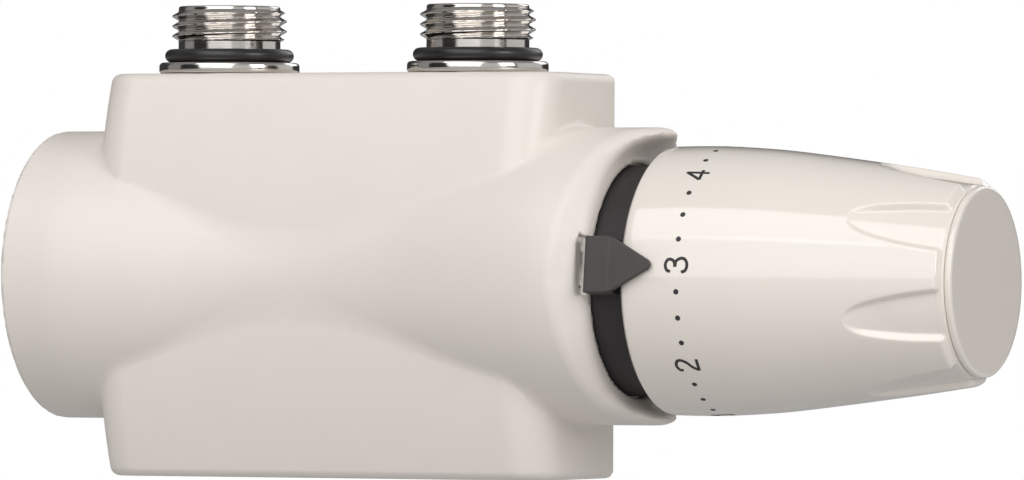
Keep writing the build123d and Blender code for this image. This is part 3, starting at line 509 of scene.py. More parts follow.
def skin_over(field, lowest, highest, step):
    """Quads over the zero level of a distance field, with every corner pulled onto that level."""
    axes = [np.arange(a, b + step, step) for a, b in zip(lowest, highest)]
    value = field(*np.meshgrid(*axes, indexing="ij")).astype(float)
    inside = value < 0
    shape = np.array(value.shape)
    count = np.zeros(shape - 1, int)
    for i, j, k in CELL_CORNERS:
        count += inside[i : shape[0] - 1 + i, j : shape[1] - 1 + j, k : shape[2] - 1 + k]
    cells = np.argwhere((count > 0) & (count < 8))
    number = np.full(shape - 1, -1)
    number[tuple(cells.T)] = np.arange(len(cells))
    levels = [value[tuple((cells + corner).T)] for corner in CELL_CORNERS]
    total, hits = np.zeros((len(cells), 3)), np.zeros(len(cells))
    for a, b in CELL_EDGES:
        crossing = (levels[a] < 0) != (levels[b] < 0)
        share = np.where(crossing, levels[a] / np.where(crossing, levels[a] - levels[b], 1), 0)
        place = CELL_CORNERS[a] + share[:, None] * (CELL_CORNERS[b] - CELL_CORNERS[a])
        total += crossing[:, None] * place
        hits += crossing
    points = np.array(lowest) + step * (cells + total / hits[:, None])
    for _ in range(5):
        slope = slope_of(field, points)
        push = field(*points.T)[:, None] * slope / np.maximum((slope**2).sum(1), 0.2)[:, None]
        points -= np.clip(push, -0.3 * step, 0.3 * step)
    faces = []
    for axis in range(3):
        ahead = np.zeros(3, int)
        ahead[axis] = 1
        first = inside[: shape[0] - ahead[0], : shape[1] - ahead[1], : shape[2] - ahead[2]]
        second = inside[ahead[0] :, ahead[1] :, ahead[2] :]
        u, v = (axis + 1) % 3, (axis + 2) % 3
        crossing = np.argwhere(first != second)
        crossing = crossing[(crossing[:, u] > 0) & (crossing[:, v] > 0)]
        crossing = crossing[(crossing[:, u] < shape[u] - 1) & (crossing[:, v] < shape[v] - 1)]
        leaving = first[tuple(crossing.T)]
        ring = []
        for du, dv in ((1, 1), (0, 1), (0, 0), (1, 0)):
            cell = crossing.copy()
            cell[:, u] -= du
            cell[:, v] -= dv
            ring.append(number[tuple(cell.T)])
        quads = np.stack(ring, -1)
        quads[~leaving] = quads[~leaving][:, ::-1]
        faces.append(quads)
    faces = outward(points, np.concatenate(faces))
    normals = slope_of(field, points)
    return points, faces, normals / np.linalg.norm(normals, axis=1)[:, None]


def keep(piece, body, slot_name, *replaced):
    """Ride a finished piece on its body and hide the nodes it stands for; slot_name is not used."""
    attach(piece, body)
    if replaced:
        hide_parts(*replaced)


def catmull(points, count):
    """Smooth line through points, with count steps between each two."""
    p = np.asarray(points, float)
    p = np.vstack([2 * p[0] - p[1], p, 2 * p[-1] - p[-2]])
    made = []
    for k in range(1, len(p) - 2):
        t = np.linspace(0, 1, count, endpoint=False)[:, None]
        a, b, c, d = p[k - 1 : k + 3]
        square, cube = 2 * a - 5 * b + 4 * c - d, 3 * b - a - 3 * c + d
        made.append(0.5 * (2 * b + (c - a) * t + square * t**2 + cube * t**3))
    return np.vstack([*made, p[-2:-1]])


# ---- Cover ----

COVER_Z = (low("cover_shell")[2] + high("cover_shell")[2]) / 2
LEFT_X = low("cover_shell")[0]
BACK_Y = high("cover_shell")[1]
HALF_Z = high("cover_shell")[2] - COVER_Z
BOX_HALF_X = 44.9
BOX_FRONT_Y = -20.0
BULGE_R = 108.0
WAIST_X, WAIST_R = -4.0, 20.8
LEFT_R, LEFT_SLOPE_X = 26.3, -40.0
COLLAR_R, COLLAR_SLOPE_X = 26.7, 37.5
MOUTH_X, MOUTH_R = 57.1, 21.0
WALL = 2.0
RIM_END_X = high("cover_shell")[0]
CAP_RIM = 1.7
POINTER_ANGLE = math.radians(6.7)
SIDE_X = {"left": -25.0, "right": 25.0}
RIM_ANGLES = np.radians([0.0, 20.6, 31.8, 44.6, 58.4, 75.0, 83.0, 90.0, 97.0, 105.0, 121.6, 135.4, 180.0])
RIM_PLACES = np.array([54.1, 55.0, 55.6, 56.3, 57.4, 60.4, 62.8, 64.4, 64.0, 62.0, 58.4, 56.6, 54.1])
RIB_PLACES, RIB_HALF, CRADLE_HALF = (-9.0, 9.0), 1.0, 13.1
NOTCH_START_X, NOTCH_FLOOR, NOTCH_HALF = 55.3, 21.9, 5.25
SLOT_HALF, SLOT_BOTTOM_Z = 11.6, 31.0
BOX_SIDE_EDGE, BOX_TOP_EDGE, TUBE_EDGE = 7.5, 1.5, 3.5
BOX_BLEND_END, BOX_BLEND_MIDDLE = 1.6, 0.7
COVER_STEP, CAP_STEP = 0.8, 0.62
COVER_MARGINS = (1.13, 1.2)


def rim_place(angle):
    """How far along the axis the collar's rim stands, by the angle from the front."""
    return np.interp(np.abs(angle), RIM_ANGLES, RIM_PLACES)


def waist_bow(edge_x, edge_r):
    """Radius of the arc that waists the tube on one side."""
    run, rise = edge_x - WAIST_X, edge_r - WAIST_R
    return (run**2 + rise**2) / (2 * rise)


def cover_outside(x, y, z, open_left):
    """Distance to the cover's outside: a bulged box joined to a waisted tube."""
    z = z - COVER_Z
    reach = np.hypot(y, z)
    front = np.hypot(y - BOX_FRONT_Y - BULGE_R, z) - BULGE_R
    box = soft_max(front, np.abs(x) - BOX_HALF_X, BOX_SIDE_EDGE)
    box = soft_max(box, np.abs(z) - HALF_Z, BOX_TOP_EDGE)
    tubes = []
    for edge_x, edge_r in ((LEFT_SLOPE_X, LEFT_R), (COLLAR_SLOPE_X, COLLAR_R)):
        bow = waist_bow(edge_x, edge_r)
        waist = bow - np.hypot(x - WAIST_X, reach - WAIST_R - bow)
        tubes.append(soft_max(waist, reach - edge_r, TUBE_EDGE))
    tube = np.where(x < WAIST_X, *tubes)
    angle = np.arctan2(z, -y)
    share = np.clip((reach - MOUTH_R) / (COLLAR_R - 1.0 - MOUTH_R), 0, 1)
    cut = MOUTH_X + (rim_place(angle) - MOUTH_X) * share**1.7
    steep = 1 + 1.1 * np.clip((rim_place(angle) - MOUTH_X) / 6.2, 0, 1) * share
    front_share = np.clip(np.cos(angle), 0, 1) ** 0.7
    tube = soft_max(tube, (x - cut) / steep, 1.9 + 2.4 * front_share)
    tube = soft_max(tube, x - RIM_END_X, 1.2)
    if not open_left:
        tube = soft_max(tube, LEFT_X - x, 0.5)
    return soft_min(box, tube, np.where(np.abs(x) > 42, BOX_BLEND_END, BOX_BLEND_MIDDLE))


def pointer_frame(y, z):
    """Distance out from the head's axis towards the pointer, and distance to the side of it."""
    out = -y * math.cos(POINTER_ANGLE) + z * math.sin(POINTER_ANGLE)
    side = y * math.sin(POINTER_ANGLE) + z * math.cos(POINTER_ANGLE)
    return out, side


def cover_field(x, y, z):
    """Distance to the whole cover, hollow, slotted and open at the back."""
    outside = cover_outside(x, y, z, False)
    hollow = np.maximum(cover_outside(x, y, z, True) + WALL, LEFT_X + WALL - x)
    solid = np.maximum(outside, -hollow)
    across = np.hypot(y, z)
    for rib in RIB_PLACES:
        wall = np.maximum(np.abs(x - rib) - RIB_HALF, outside + 0.4)
        cradle = np.minimum(across - CRADLE_HALF, np.maximum(np.abs(z) - CRADLE_HALF, -y))
        solid = np.minimum(solid, np.maximum(wall, -cradle))
    seat = np.maximum(np.hypot(y, z - COVER_Z) - (LEFT_R - CAP_RIM), x - LEFT_X - WALL)
    solid = soft_max(solid, -seat, 0.2)
    mouth = np.maximum(across - MOUTH_R, 50.0 - x)
    solid = soft_max(solid, -mouth, 0.45)
    out, side = pointer_frame(y, z)
    notch = np.maximum(np.maximum(np.abs(side) - NOTCH_HALF, NOTCH_START_X - x), NOTCH_FLOOR - out)
    solid = soft_max(solid, -notch, 0.25)
    for place in SIDE_X.values():
        straight = np.maximum(np.abs(x - place) - SLOT_HALF, -y)
        slot = np.minimum(np.hypot(x - place, y) - SLOT_HALF, straight)
        solid = soft_max(solid, -np.maximum(slot, SLOT_BOTTOM_Z - z), 0.4)
    return soft_max(solid, y - BACK_Y, 0.35)


def build_cover(finishes):
    """The whole cover in one skin, and the disc in its left end."""
    lowest = low("cover_shell") - COVER_MARGINS[0]
    highest = high("cover_shell") + COVER_MARGINS[1]
    points, faces, normals = skin_over(cover_field, lowest, highest, COVER_STEP)
    cover = write_mesh("cover_skin", points, faces, finishes["white_cover_plastic"], normals=normals)
    keep(cover, "valve", "white_cover_plastic", "cover_shell")
    build_end_cap(finishes)


def build_end_cap(finishes):
    """Flat disc across the axis, cut off straight at the cover's back."""
    start, end = LEFT_X, LEFT_X + WALL - 0.1
    radius = LEFT_R - CAP_RIM - 0.1

    def field(x, y, z):
        thick = np.abs(x - (start + end) / 2) - (end - start) / 2
        disc = soft_max(np.hypot(y, z - COVER_Z) - radius, thick, 0.3)
        return soft_max(disc, y - BACK_Y, 0.3)

    lowest = (start - 1.0, -radius - 1, COVER_Z - radius - 1)
    highest = (end + 1, BACK_Y + 1, COVER_Z + radius + 1)
    points, faces, normals = skin_over(field, lowest, highest, CAP_STEP)
    cap = write_mesh("end_cap_disc", points, faces, finishes["white_cover_plastic"], normals=normals)
    keep(cap, "valve", "white_cover_plastic", "cover_end_cap")


# ---- Knob, its dial and the end disc ----

HEAD_CENTRE = (0.0, 0.0, 0.0)
RECESSES = 7
SECTOR = math.pi / RECESSES
# Outlines as (along the axis, radius).
LAND = [
    (64.6, 24.02), (69.8, 24.1), (75.8, 24.0), (85.2, 23.4), (94.5, 22.35), (103.8, 21.15), (113.0, 19.9),
    (122.2, 18.5),
]
KNOB_MOUTH = [(63.7, 22.9), (63.72, 23.12), (63.84, 23.36), (64.3, 23.84), (64.45, 23.95)]
KNOB_END = [(122.4, 17.2), (122.58, 17.1), (122.7, 17.06), (122.78, 17.0), (122.8, 16.9), (122.8, 14.05)]
KNOB_INSIDE = [
    (120.0, 14.05), (120.0, 15.6), (114.0, 16.9), (104.0, 18.4), (104.0, 16.0), (92.0, 16.0), (92.0, 20.2),
    (86.0, 20.9), (77.0, 21.3), (77.0, 13.1), (74.0, 13.1), (74.0, 21.3), (68.0, 21.1), (63.7, 21.1),
]
# The lands' rounded end edge as (back from the end, down from the land).
LAND_EDGE = [(0.62, -0.05), (0.5, 0.02), (0.4, 0.12), (0.25, 0.36), (0.0, 0.82), (-0.1, 1.0), (-0.2, 1.14)]
RECESS_TIP_X, LAND_END_X = 105.0, 122.2
RECESS_DEPTH, FLOOR_END_R, RECESS_WALL = 1.2, 17.3, 1.15
RECESS_SIDE = catmull(
    [(104.8, 0.2), (105.0, 0.75), (105.6, 1.4), (107.2, 2.25), (109.0, 2.8), (111.5, 3.35), (116.0, 4.05),
     (121.5, 4.5), (123.0, 4.55)], 12
)
LAND_LINE = catmull(LAND, 24)
WALL_SHARES = np.linspace(0, 1, 10)[1:]
WIDEST_RECESS, WIDEST_WALL = 0.6, 1.6


def land_radius(x):
    """Radius of the knob's outside between the recesses."""
    return np.interp(x, LAND_LINE[:, 0], LAND_LINE[:, 1])


def floor_radius(x):
    """Radius of the floor of the grip recesses, which sink quickly behind their tips."""
    share = np.clip((x - RECESS_TIP_X + 0.3) / 8.0, 0, 1)
    return land_radius(x) - RECESS_DEPTH * (1 - (1 - share) ** 2)


def recess_half_width(x):
    """Half width of an arched recess, to the middle of its side wall."""
    ahead = 0.2 + 0.12 * (RECESS_SIDE[0, 0] - x)
    return np.where(x < RECESS_SIDE[0, 0], ahead, np.interp(x, RECESS_SIDE[:, 0], RECESS_SIDE[:, 1]))


def knob_rows():
    """Rows of the knob's outside as (x on a land, radius on a land, x on a floor, radius on a floor)."""
    rows = [(x, r, x, r) for x, r in KNOB_MOUTH]
    places = np.concatenate(
        [np.linspace(64.7, 100, 26, endpoint=False), np.linspace(100, 104.6, 8, endpoint=False),
         np.linspace(104.6, 107, 24, endpoint=False), np.linspace(107, 112, 16, endpoint=False),
         np.linspace(112, 121.4, 22)]
    )
    for x in places:
        rows.append((x, land_radius(x), x, min(floor_radius(x), land_radius(x))))
    edge = land_radius(LAND_END_X)
    for back, down in LAND_EDGE:
        x = LAND_END_X - back
        rows.append((x, edge - down, x, FLOOR_END_R + 0.2 * back))
    rows += [(x, r, x, r) for x, r in KNOB_END + KNOB_INSIDE]
    return np.array(rows)


def smooth(share):
    """A share from 0 to 1 that starts and ends gently."""
    return share * share * (3 - 2 * share)


def build_knob(finishes):
    """The knob's skin: its columns follow the sides of the grip recesses, so their walls stay crisp."""
    rows = knob_rows()
    land_x, land_r, floor_x, floor_r = rows.T
    half = np.minimum(recess_half_width(land_x) / land_r, SECTOR * WIDEST_RECESS)
    wall = np.minimum(RECESS_WALL / land_r, WIDEST_WALL * half)
    columns, weights = [], []
    for k in range(RECESSES):
        middle = POINTER_ANGLE + 2 * SECTOR * (k + 0.5)
        for share in np.linspace(-1, 1, 13):
            columns.append(middle + share * (half - wall / 2))
            weights.append(1.0)
        for share in WALL_SHARES:
            columns.append(middle + half + wall * (share - 0.5))
            weights.append(1 - smooth(share))
        for share in np.linspace(0, 1, 17)[1:-1]:
            columns.append(middle + half + wall / 2 + share * 2 * (SECTOR - half - wall / 2))
            weights.append(0.0)
        for share in 1 - WALL_SHARES[::-1]:
            columns.append(middle + 2 * SECTOR - half + wall * (share - 0.5))
            weights.append(smooth(share))
    angle = np.array(columns).T
    weight = np.array(weights)[None, :]
    along = (1 - weight) * land_x[:, None] + weight * floor_x[:, None]
    radius = (1 - weight) * land_r[:, None] + weight * floor_r[:, None]
    knob = wrap("knob_skin", along, radius, angle, "X", HEAD_CENTRE, finishes["glossy_white_plastic"], 40)
    keep(knob, "knob", "glossy_white_plastic", "knob_shell")


def build_end_disc(finishes):
    """Turned disc that closes the knob's end, with rounded edges."""
    start, end = KNOB_END[-1][0], high("knob_end_disc")[0]
    rim = high("knob_end_disc")[2] + 0.65
    disc = [(119.0, 0.0), (119.0, 13.9), (start, 14.0), (start + 0.02, rim), (end, rim), (end, rim - 1.2),
            (end, rim - 1.5), (end, 8.0), (end, 0.5), (end, 0.0)]
    rings = round_corners(disc, 0.5)
    finish = finishes["glossy_white_plastic"]
    face = wrap_rings("end_disc", rings, full_turn(180), "X", HEAD_CENTRE, finish, 60)
    close_poles(face)
    keep(face, "knob", "glossy_white_plastic", "knob_end_disc")


DIAL_X = 74.75
DIGIT_STEP = math.radians(45.0)
PRINT_WIDTH = 0.56
PRINT_LIFT, STROKE_LIFT = 0.045, 0.004
# Strokes of each number as lines of (across, up) points.
DIGITS = {
    "2": [[(-1.12, 0.95), (-0.98, 1.62), (-0.1, 2.05), (0.88, 1.72), (1.12, 1.0), (0.62, 0.0), (-0.42, -0.95),
           (-1.15, -2.02)], [(-1.2, -2.03), (1.28, -2.03)]],
    "3": [[(-1.16, 1.1), (-0.88, 1.75), (0.0, 2.05), (0.86, 1.72), (1.02, 1.06), (0.62, 0.42),
           (-0.32, 0.2)],
          [(-0.3, 0.2), (0.72, 0.0), (1.22, -0.9), (0.92, -1.72), (0.0, -2.05), (-0.95, -1.74),
           (-1.24, -1.0)]],
    "4": [[(0.52, -2.28), (0.52, 1.95)], [(0.6, 2.02), (-1.36, -0.9)], [(-1.42, -0.9), (1.3, -0.9)]],
    "1": [[(0.35, -2.28), (0.35, 2.2)], [(0.35, 2.0), (-0.1, 1.45), (-0.85, 1.2)]],
    "5": [[(1.05, 2.02), (-0.75, 2.02)], [(-0.72, 2.1), (-1.02, 0.1)],
          [(-1.0, 0.12), (-0.1, 0.62), (0.9, 0.2), (1.22, -0.7), (0.85, -1.7), (-0.1, -2.05), (-0.95, -1.72),
           (-1.22, -1.1)]],
    "0": [[(0.0, 2.05), (0.85, 1.6), (1.15, 0.0), (0.85, -1.6), (0.0, -2.05), (-0.85, -1.6), (-1.15, 0.0),
           (-0.85, 1.6), (0.0, 2.05)]],
}


def print_stroke(line, lift):
    """Sections of a raised band of print along a line of (across, up) points, with their heights."""
    along = np.gradient(line, axis=0)
    along /= np.linalg.norm(along, axis=1)[:, None]
    square = np.stack([-along[:, 1], along[:, 0]], -1)
    sections = []
    for share, height in ((-1, -0.06), (-1, 0.6), (-0.86, 1), (0, 1), (0.86, 1), (1, 0.6), (1, -0.06)):
        flat = line + square * share * PRINT_WIDTH / 2
        sections.append((flat, height * lift if height > 0 else height))
    return sections


def build_digit(digit, turn_angle):
    """Points and faces of one dial number, wrapped on the knob."""
    points, faces = [], []
    for number, stroke in enumerate(DIGITS[digit]):
        fine = catmull(stroke, 10 if len(stroke) > 2 else 14)
        sections = print_stroke(fine, PRINT_LIFT + STROKE_LIFT * number)
        grid = []
        for flat, height in sections:
            x = DIAL_X - flat[:, 1]
            radius = land_radius(x) + height
            grid.append(around(x, radius, turn_angle + flat[:, 0] / radius, "X", HEAD_CENTRE))
        grid = np.array(grid)
        count, length = grid.shape[:2]
        base = sum(len(p) for p in points)
        points.append(grid.reshape(-1, 3))
        for i in range(count):
            ahead = (i + 1) % count
            for j in range(length - 1):
                a, b = base + i * length + j, base + ahead * length + j
                faces.append((a, a + 1, b + 1, b))
        for j, order in ((0, 1), (length - 1, -1)):
            ring = [base + i * length + j for i in range(count)]
            faces += [(ring[0], ring[k], ring[k + 1])[::order] for k in range(1, count - 1)]
    return np.vstack(points), faces


def build_dial(finishes):
    """Numbers 0 to 5 a fixed step apart, 3 at the pointer, with three dots between each two."""
    ink = finishes["dial_print"]
    for number in range(6):
        digit = str(number)
        points, faces = build_digit(digit, POINTER_ANGLE + (number - 3) * DIGIT_STEP)
        mesh = bpy.data.meshes.new(f"dial_number_{digit}")
        mesh.from_pydata((points * MM).tolist(), [], faces)
        mesh.materials.append(ink)
        made = bpy.data.objects.new(f"dial_number_{digit}", mesh)
        bpy.context.scene.collection.objects.link(made)
        turn_outward(made)
        keep(made, "knob", "dark_grey_plastic")
    keep(grow_dots(ink), "knob", "dark_grey_plastic")


def close_poles(piece):
    """Weld the rings of a turned piece that have shrunk to points on its axis."""
    shape = bmesh.new()
    shape.from_mesh(piece.data)
    bmesh.ops.remove_doubles(shape, verts=shape.verts, dist=0.0000001)
    loose = [edge for edge in shape.edges if not edge.link_faces]
    bmesh.ops.delete(shape, geom=loose, context="EDGES")
    shape.to_mesh(piece.data)
    shape.free()


def turn_outward(piece):
    """Recalculate a closed mesh's normals so that they point outwards."""
    shape = bmesh.new()
    shape.from_mesh(piece.data)
    bmesh.ops.recalc_face_normals(shape, faces=shape.faces)
    shape.to_mesh(piece.data)
    shape.free()


# ---- Dial dots, grown by geometry nodes ----


def start_growth(name, inputs):
    """A geometry tree from (name, kind, default) inputs, its input node and the inputs' identifiers."""
    tree = bpy.data.node_groups.new(name, "GeometryNodeTree")
    tree.is_modifier = True
    identifiers = {}
    for label, kind, value in inputs:
        socket = tree.interface.new_socket(name=label, in_out="INPUT", socket_type=f"NodeSocket{kind}")
        if value is not None:
            socket.default_value = value
        identifiers[label] = socket.identifier
    tree.interface.new_socket(name="Geometry", in_out="OUTPUT", socket_type="NodeSocketGeometry")
    return tree, node(tree, "NodeGroupInput", (-1200, 0)), identifiers


def finish_growth(tree, shape, given):
    """End a tree in Realize Instances and Set Material."""
    real = node(tree, "GeometryNodeRealizeInstances", (900, 0))
    paint = node(tree, "GeometryNodeSetMaterial", (1100, 0))
    out = node(tree, "NodeGroupOutput", (1300, 0))
    tree.links.new(shape, real.inputs["Geometry"])
    join(real, "Geometry", paint, "Geometry")
    join(given, "Finish", paint, "Material")
    join(paint, "Geometry", out, "Geometry")


def grown(name, tree, identifiers, values):
    """Run a tree on an empty mesh and keep the result as a plain mesh object."""
    carrier = bpy.data.objects.new(name, bpy.data.meshes.new(name))
    bpy.context.scene.collection.objects.link(carrier)
    modifier = carrier.modifiers.new(name, "NODES")
    modifier.node_group = tree
    for label, value in values.items():
        modifier[identifiers[label]] = value
    carrier.update_tag()
    graph = bpy.context.evaluated_depsgraph_get()
    mesh = bpy.data.meshes.new_from_object(carrier.evaluated_get(graph))
    carrier.modifiers.remove(modifier)
    carrier.data = mesh
    mesh.name = name
    return carrier


def calc(tree, operation, place, *terms):
    """A math node; each term is a number or a socket."""
    made = node(tree, "ShaderNodeMath", place, operation=operation)
    for k, term in enumerate(terms):
        if isinstance(term, (int, float)):
            made.inputs[k].default_value = term
        else:
            tree.links.new(term, made.inputs[k])
    return made.outputs["Value"]


DOTS_IN_GAP = 3.0
DOT_DEPTH, DOT_SUNK = 0.09, 0.04


def grow_dots(ink):
    """Three dots in each gap between dial numbers, on the knob's side."""
    tree, given, names = start_growth(
        "dial_dots",
        [("Gaps", "Int", 5), ("First Angle", "Float", 0.0), ("Step", "Float", 0.1), ("Place", "Float", 0.07),
         ("Ring Radius", "Float", 0.024), ("Dot Radius", "Float", 0.0004), ("Finish", "Material", None)],
    )
    link = tree.links.new
    total = calc(tree, "MULTIPLY", (-900, 200), given.outputs["Gaps"], DOTS_IN_GAP)
    row = node(tree, "GeometryNodeMeshLine", (-600, 200))
    link(total, row.inputs["Count"])
    index = node(tree, "GeometryNodeInputIndex", (-900, -100)).outputs["Index"]
    gap = calc(tree, "FLOOR", (-600, -100), calc(tree, "DIVIDE", (-750, -100), index, DOTS_IN_GAP))
    place = calc(tree, "ADD", (-450, -150), calc(tree, "ADD", (-600, -250), index, gap), 1.0)
    angle = calc(tree, "MULTIPLY_ADD", (-300, -150), place, given.outputs["Step"],
                 given.outputs["First Angle"])
    cosine = calc(tree, "COSINE", (-150, -100), angle)
    sine = calc(tree, "SINE", (-150, -250), angle)
    side = calc(tree, "MULTIPLY", (0, -100), calc(tree, "MULTIPLY", (-50, -50), cosine, -1.0),
                given.outputs["Ring Radius"])
    rise = calc(tree, "MULTIPLY", (0, -250), sine, given.outputs["Ring Radius"])
    where = node(tree, "ShaderNodeCombineXYZ", (150, -150))
    join(given, "Place", where, "X")
    link(side, where.inputs["Y"])
    link(rise, where.inputs["Z"])
    outwards = node(tree, "ShaderNodeCombineXYZ", (150, -350))
    link(side, outwards.inputs["Y"])
    link(rise, outwards.inputs["Z"])
    spread = node(tree, "GeometryNodeSetPosition", (300, 200))
    join(row, "Mesh", spread, "Geometry")
    join(where, "Vector", spread, "Position")
    dot = node(tree, "GeometryNodeMeshCone", (150, 500), Vertices=24, Side_Segments=1, Depth=DOT_DEPTH * MM)
    join(given, "Dot Radius", dot, "Radius Bottom")
    link(calc(tree, "MULTIPLY", (0, 500), given.outputs["Dot Radius"], 0.9), dot.inputs["Radius Top"])
    face = node(tree, "FunctionNodeAlignEulerToVector", (300, -350), axis="Z")
    join(outwards, "Vector", face, "Vector")
    stamp = node(tree, "GeometryNodeInstanceOnPoints", (600, 200))
    join(spread, "Geometry", stamp, "Points")
    join(dot, "Mesh", stamp, "Instance")
    join(face, "Rotation", stamp, "Rotation")
    finish_growth(tree, stamp.outputs["Instances"], given)
    values = {
        "Gaps": 5,
        "First Angle": POINTER_ANGLE - 3 * DIGIT_STEP,
        "Step": DIGIT_STEP / 4,
        "Place": DIAL_X * MM,
        "Ring Radius": (float(land_radius(DIAL_X)) - DOT_SUNK) * MM,
        "Dot Radius": 0.51 * MM,
        "Finish": ink,
    }
    return grown("dial_dots", tree, names, values)


# ---- Threaded connections ----


UNION_PITCH, UNION_DEPTH = 1.5, 0.92
PIPE_PITCH, PIPE_DEPTH = 1.8143, 1.16
KEY_SOCKET = 12.55
# Plain rings as (along the axis, radius).
NIPPLE_FLANGE = [
    (37.5, 10.1), (37.5, 12.3), (37.56, 12.55), (37.72, 12.72), (37.95, 12.8), (38.3, 12.8), (38.75, 12.8),
    (39.0, 12.77), (39.2, 12.68), (39.36, 12.54), (39.46, 12.36), (39.5, 12.15), (39.5, 9.55), (39.53, 9.42),
    (39.65, 9.3), (40.6, 9.3), (41.8, 9.3), (43.1, 9.3),
]
NIPPLE_END = [(49.3, 9.28), (49.5, 9.26), (49.64, 9.2), (49.74, 9.1)]
PIPE_FLANGE = [
    (14.0, 7.0), (14.0, 8.9), (14.1, 9.0), (23.95, 9.0), (24.0, 9.05), (24.0, 13.5), (24.25, 13.75),
    (24.5, 13.8), (26.3, 13.8), (26.55, 13.75), (26.8, 13.5), (26.8, 11.9), (27.0, 11.8), (28.1, 11.8),
]
PIPE_MOUTH = [(34.0, 7.6), (33.8, 7.55), (24.0, 7.55), (24.0, 7.0)]
NUT_HEIGHTS = [0.0, 0.25, 0.5, 0.8, 1.1, 1.5, 2.0]


def thread_height(along, angle, pitch):
    """0 at the thread's root and 1 at its crest, for a right-hand thread with a narrow crest."""
    turns = along / pitch - angle / (2 * math.pi)
    rise = np.abs(2 * (turns - np.floor(turns)) - 1)
    rise = np.clip((rise - 0.1) / 0.8, 0, 1)
    return 0.75 * rise + 0.25 * smooth(rise)


def hexagon(angle, across_flats):
    """Radius of a hexagon at each angle round it."""
    sector = math.pi / 3
    return across_flats / 2 / np.cos((angle + sector / 2) % sector - sector / 2)


def build_radiator_nipple(side, finishes):
    """Union thread, flange, neck, G 1/2 thread with its lead-in, and the key socket inside."""
    angle = full_turn(240)
    foot = low(f"radiator_nipple_{side}")[2]
    top = high(f"radiator_nipple_{side}")[2]
    rings = []
    for z in np.arange(foot, 37.3, 0.12):
        crest = 10.08 + UNION_DEPTH * thread_height(z, angle, UNION_PITCH)
        limit = min(10.15 + 0.9 * (z - foot), 11.0, 10.1 + 1.2 * max(37.2 - z, 0))
        rings.append((z, np.minimum(crest, limit)))
    rings += NIPPLE_FLANGE
    for z in np.arange(43.2, 49.22, 0.07):
        height = PIPE_DEPTH * thread_height(z - 45.13, angle, PIPE_PITCH)
        limit = np.clip(min(1.9 * (z - 43.35), 1.75 * (49.15 - z)), 0, 1.18)
        rings.append((z, 9.3 + np.minimum(height, limit)))
    rings += [*NIPPLE_END, (top, 8.92), (top, 6.75)]
    for z, share in ((top - 0.05, 0.1), (top - 0.35, 1.0), (41.0, 1.0), (40.85, 0.8)):
        rings.append((z, share * hexagon(angle, KEY_SOCKET) + (1 - share) * 6.72))
    rings += [(40.8, 6.0), (foot, 6.0)]
    name, centre = f"radiator_nipple_skin_{side}", (SIDE_X[side], 0, 0)
    made = wrap_rings(name, rings, angle, "Z", centre, finishes["nickel_plate"], 42)
    keep(made, "valve", "nickel_plate", f"radiator_nipple_{side}")


def build_pipe_nipple(side, finishes):
    """G 3/4 connection at the back, with a coned mouth."""
    angle = full_turn(240)
    end = high(f"pipe_nipple_{side}")[1]
    rings = list(PIPE_FLANGE)
    for y in np.arange(28.2, 38.9, 0.1):
        height = PIPE_DEPTH * thread_height(y, angle, PIPE_PITCH)
        limit = np.clip(min(1.5 * (y - 28.2) - 0.1, 1.1 * (39.0 - y) - 0.05), -0.1, 1.17)
        rings.append((y, 12.05 + np.minimum(height, limit)))
    rings += [(end, 11.9), (end, 10.3), (end - 0.1, 10.15), *PIPE_MOUTH]
    name, centre = f"pipe_nipple_skin_{side}", (SIDE_X[side], 0, 0)
    made = wrap_rings(name, rings, angle, "Y", centre, finishes["nickel_plate_along"], 42)
    keep(made, "valve", "nickel_plate", f"pipe_nipple_{side}")


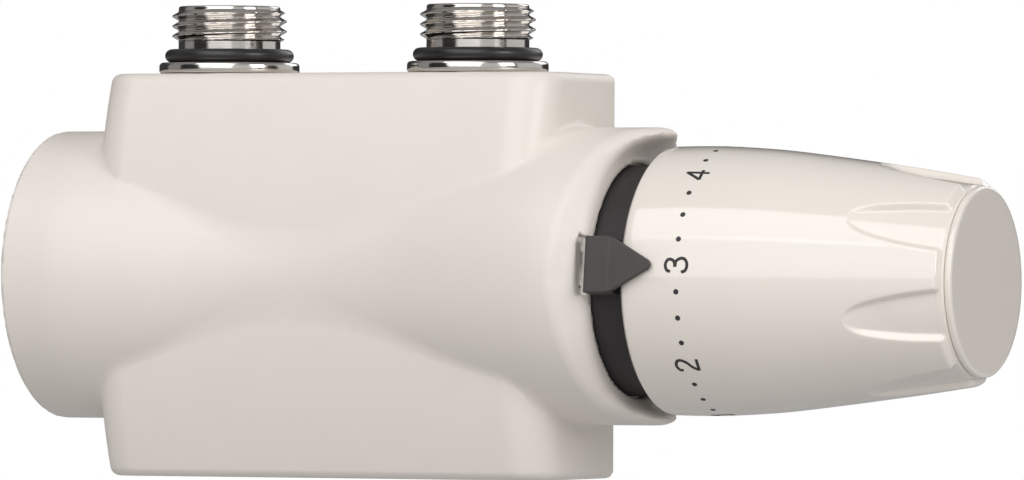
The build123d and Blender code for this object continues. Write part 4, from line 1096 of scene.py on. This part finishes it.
def build_union_nut(side, finishes):
    """Hexagon nut with turned corners, a bore that clears the tower and a relief for the union thread."""
    angle = full_turn(180)
    foot, top = low(f"union_nut_{side}")[2], high(f"union_nut_{side}")[2]
    flats = high(f"union_nut_{side}")[1] * 2
    hexed = hexagon(angle, flats)
    turned = [np.minimum(hexed, flats / 2 - 0.4 + 1.75 * height) for height in NUT_HEIGHTS]
    rings = [(foot, 8.3), (foot, flats / 2 - 0.5)]
    rings += [(foot + height, radius) for height, radius in zip(NUT_HEIGHTS, turned)]
    rings.append(((foot + top) / 2, hexed))
    rings += [(top - height, radius) for height, radius in zip(NUT_HEIGHTS[::-1], turned[::-1])]
    rings += [(top, flats / 2 - 0.5), (top, 11.35), (top - 0.3, 11.05), (24.4, 11.05), (24.4, 8.3)]
    name, centre = f"union_nut_skin_{side}", (SIDE_X[side], 0, 0)
    made = wrap_rings(name, rings, angle, "Z", centre, finishes["nickel_plate_along"], 30)
    keep(made, "valve", "nickel_plate", f"union_nut_{side}")


# ---- Pointer ----


POINTER_STEP = 0.13


def pointer_field(x, y, z):
    """Distance to the pointer: a block on the dark ring with a flat arrow reaching over the knob."""
    out, side = pointer_frame(y, z)
    start, shoulder, tip = 56.8, 62.2, 70.2
    half, top, underside, seat_r = 5.0, 25.38, 24.42, 20.72
    slope = math.atan2(half - 0.9, tip - shoulder - 0.9)
    arrow = (x - tip) * math.sin(slope) + (np.abs(side) - 0.55) * math.cos(slope)
    plan = soft_max(soft_max(arrow, np.abs(side) - half, 0.5), start - x, 0.25)
    plan = soft_max(plan, x - tip, 0.75)
    bevel = (start - x) * 0.82 + (out - top) * 0.57 + 0.8
    slab = soft_max(soft_max(plan, out - top, 0.28), bevel, 0.2)
    under = soft_max(slab, underside - out, 0.12)
    block = soft_max(slab, x - shoulder, 0.2)
    return soft_max(soft_min(under, block, 0.2), seat_r - np.hypot(y, z), 0.1)


def build_pointer(finishes):
    """The dark arrow on the ring between the cover and the knob."""
    lowest, highest = low("setting_pointer") - 0.4, high("setting_pointer") + 0.4
    points, faces, normals = skin_over(pointer_field, lowest, highest, POINTER_STEP)
    arrow = write_mesh("pointer_skin", points, faces, finishes["dark_grey_plastic"], normals=normals)
    keep(arrow, "valve", "dark_grey_plastic", "setting_pointer")


place_camera()
light_studio()
lay_floor()
finishes = mix_finishes()
build_cover(finishes)
build_knob(finishes)
build_end_disc(finishes)
build_dial(finishes)
build_pointer(finishes)
for side in SIDES:
    build_radiator_nipple(side, finishes)
    build_pipe_nipple(side, finishes)
    build_union_nut(side, finishes)

slot_names = {part["node"]: part["material_slot"] for part in frame["record"]["subparts"]}
for name, piece in frame["nodes"].items():
    finish = "dark_ring_plastic" if name == "head_base" else slot_names[name]
    for slot_place in piece.material_slots:
        slot_place.material = finishes[finish]
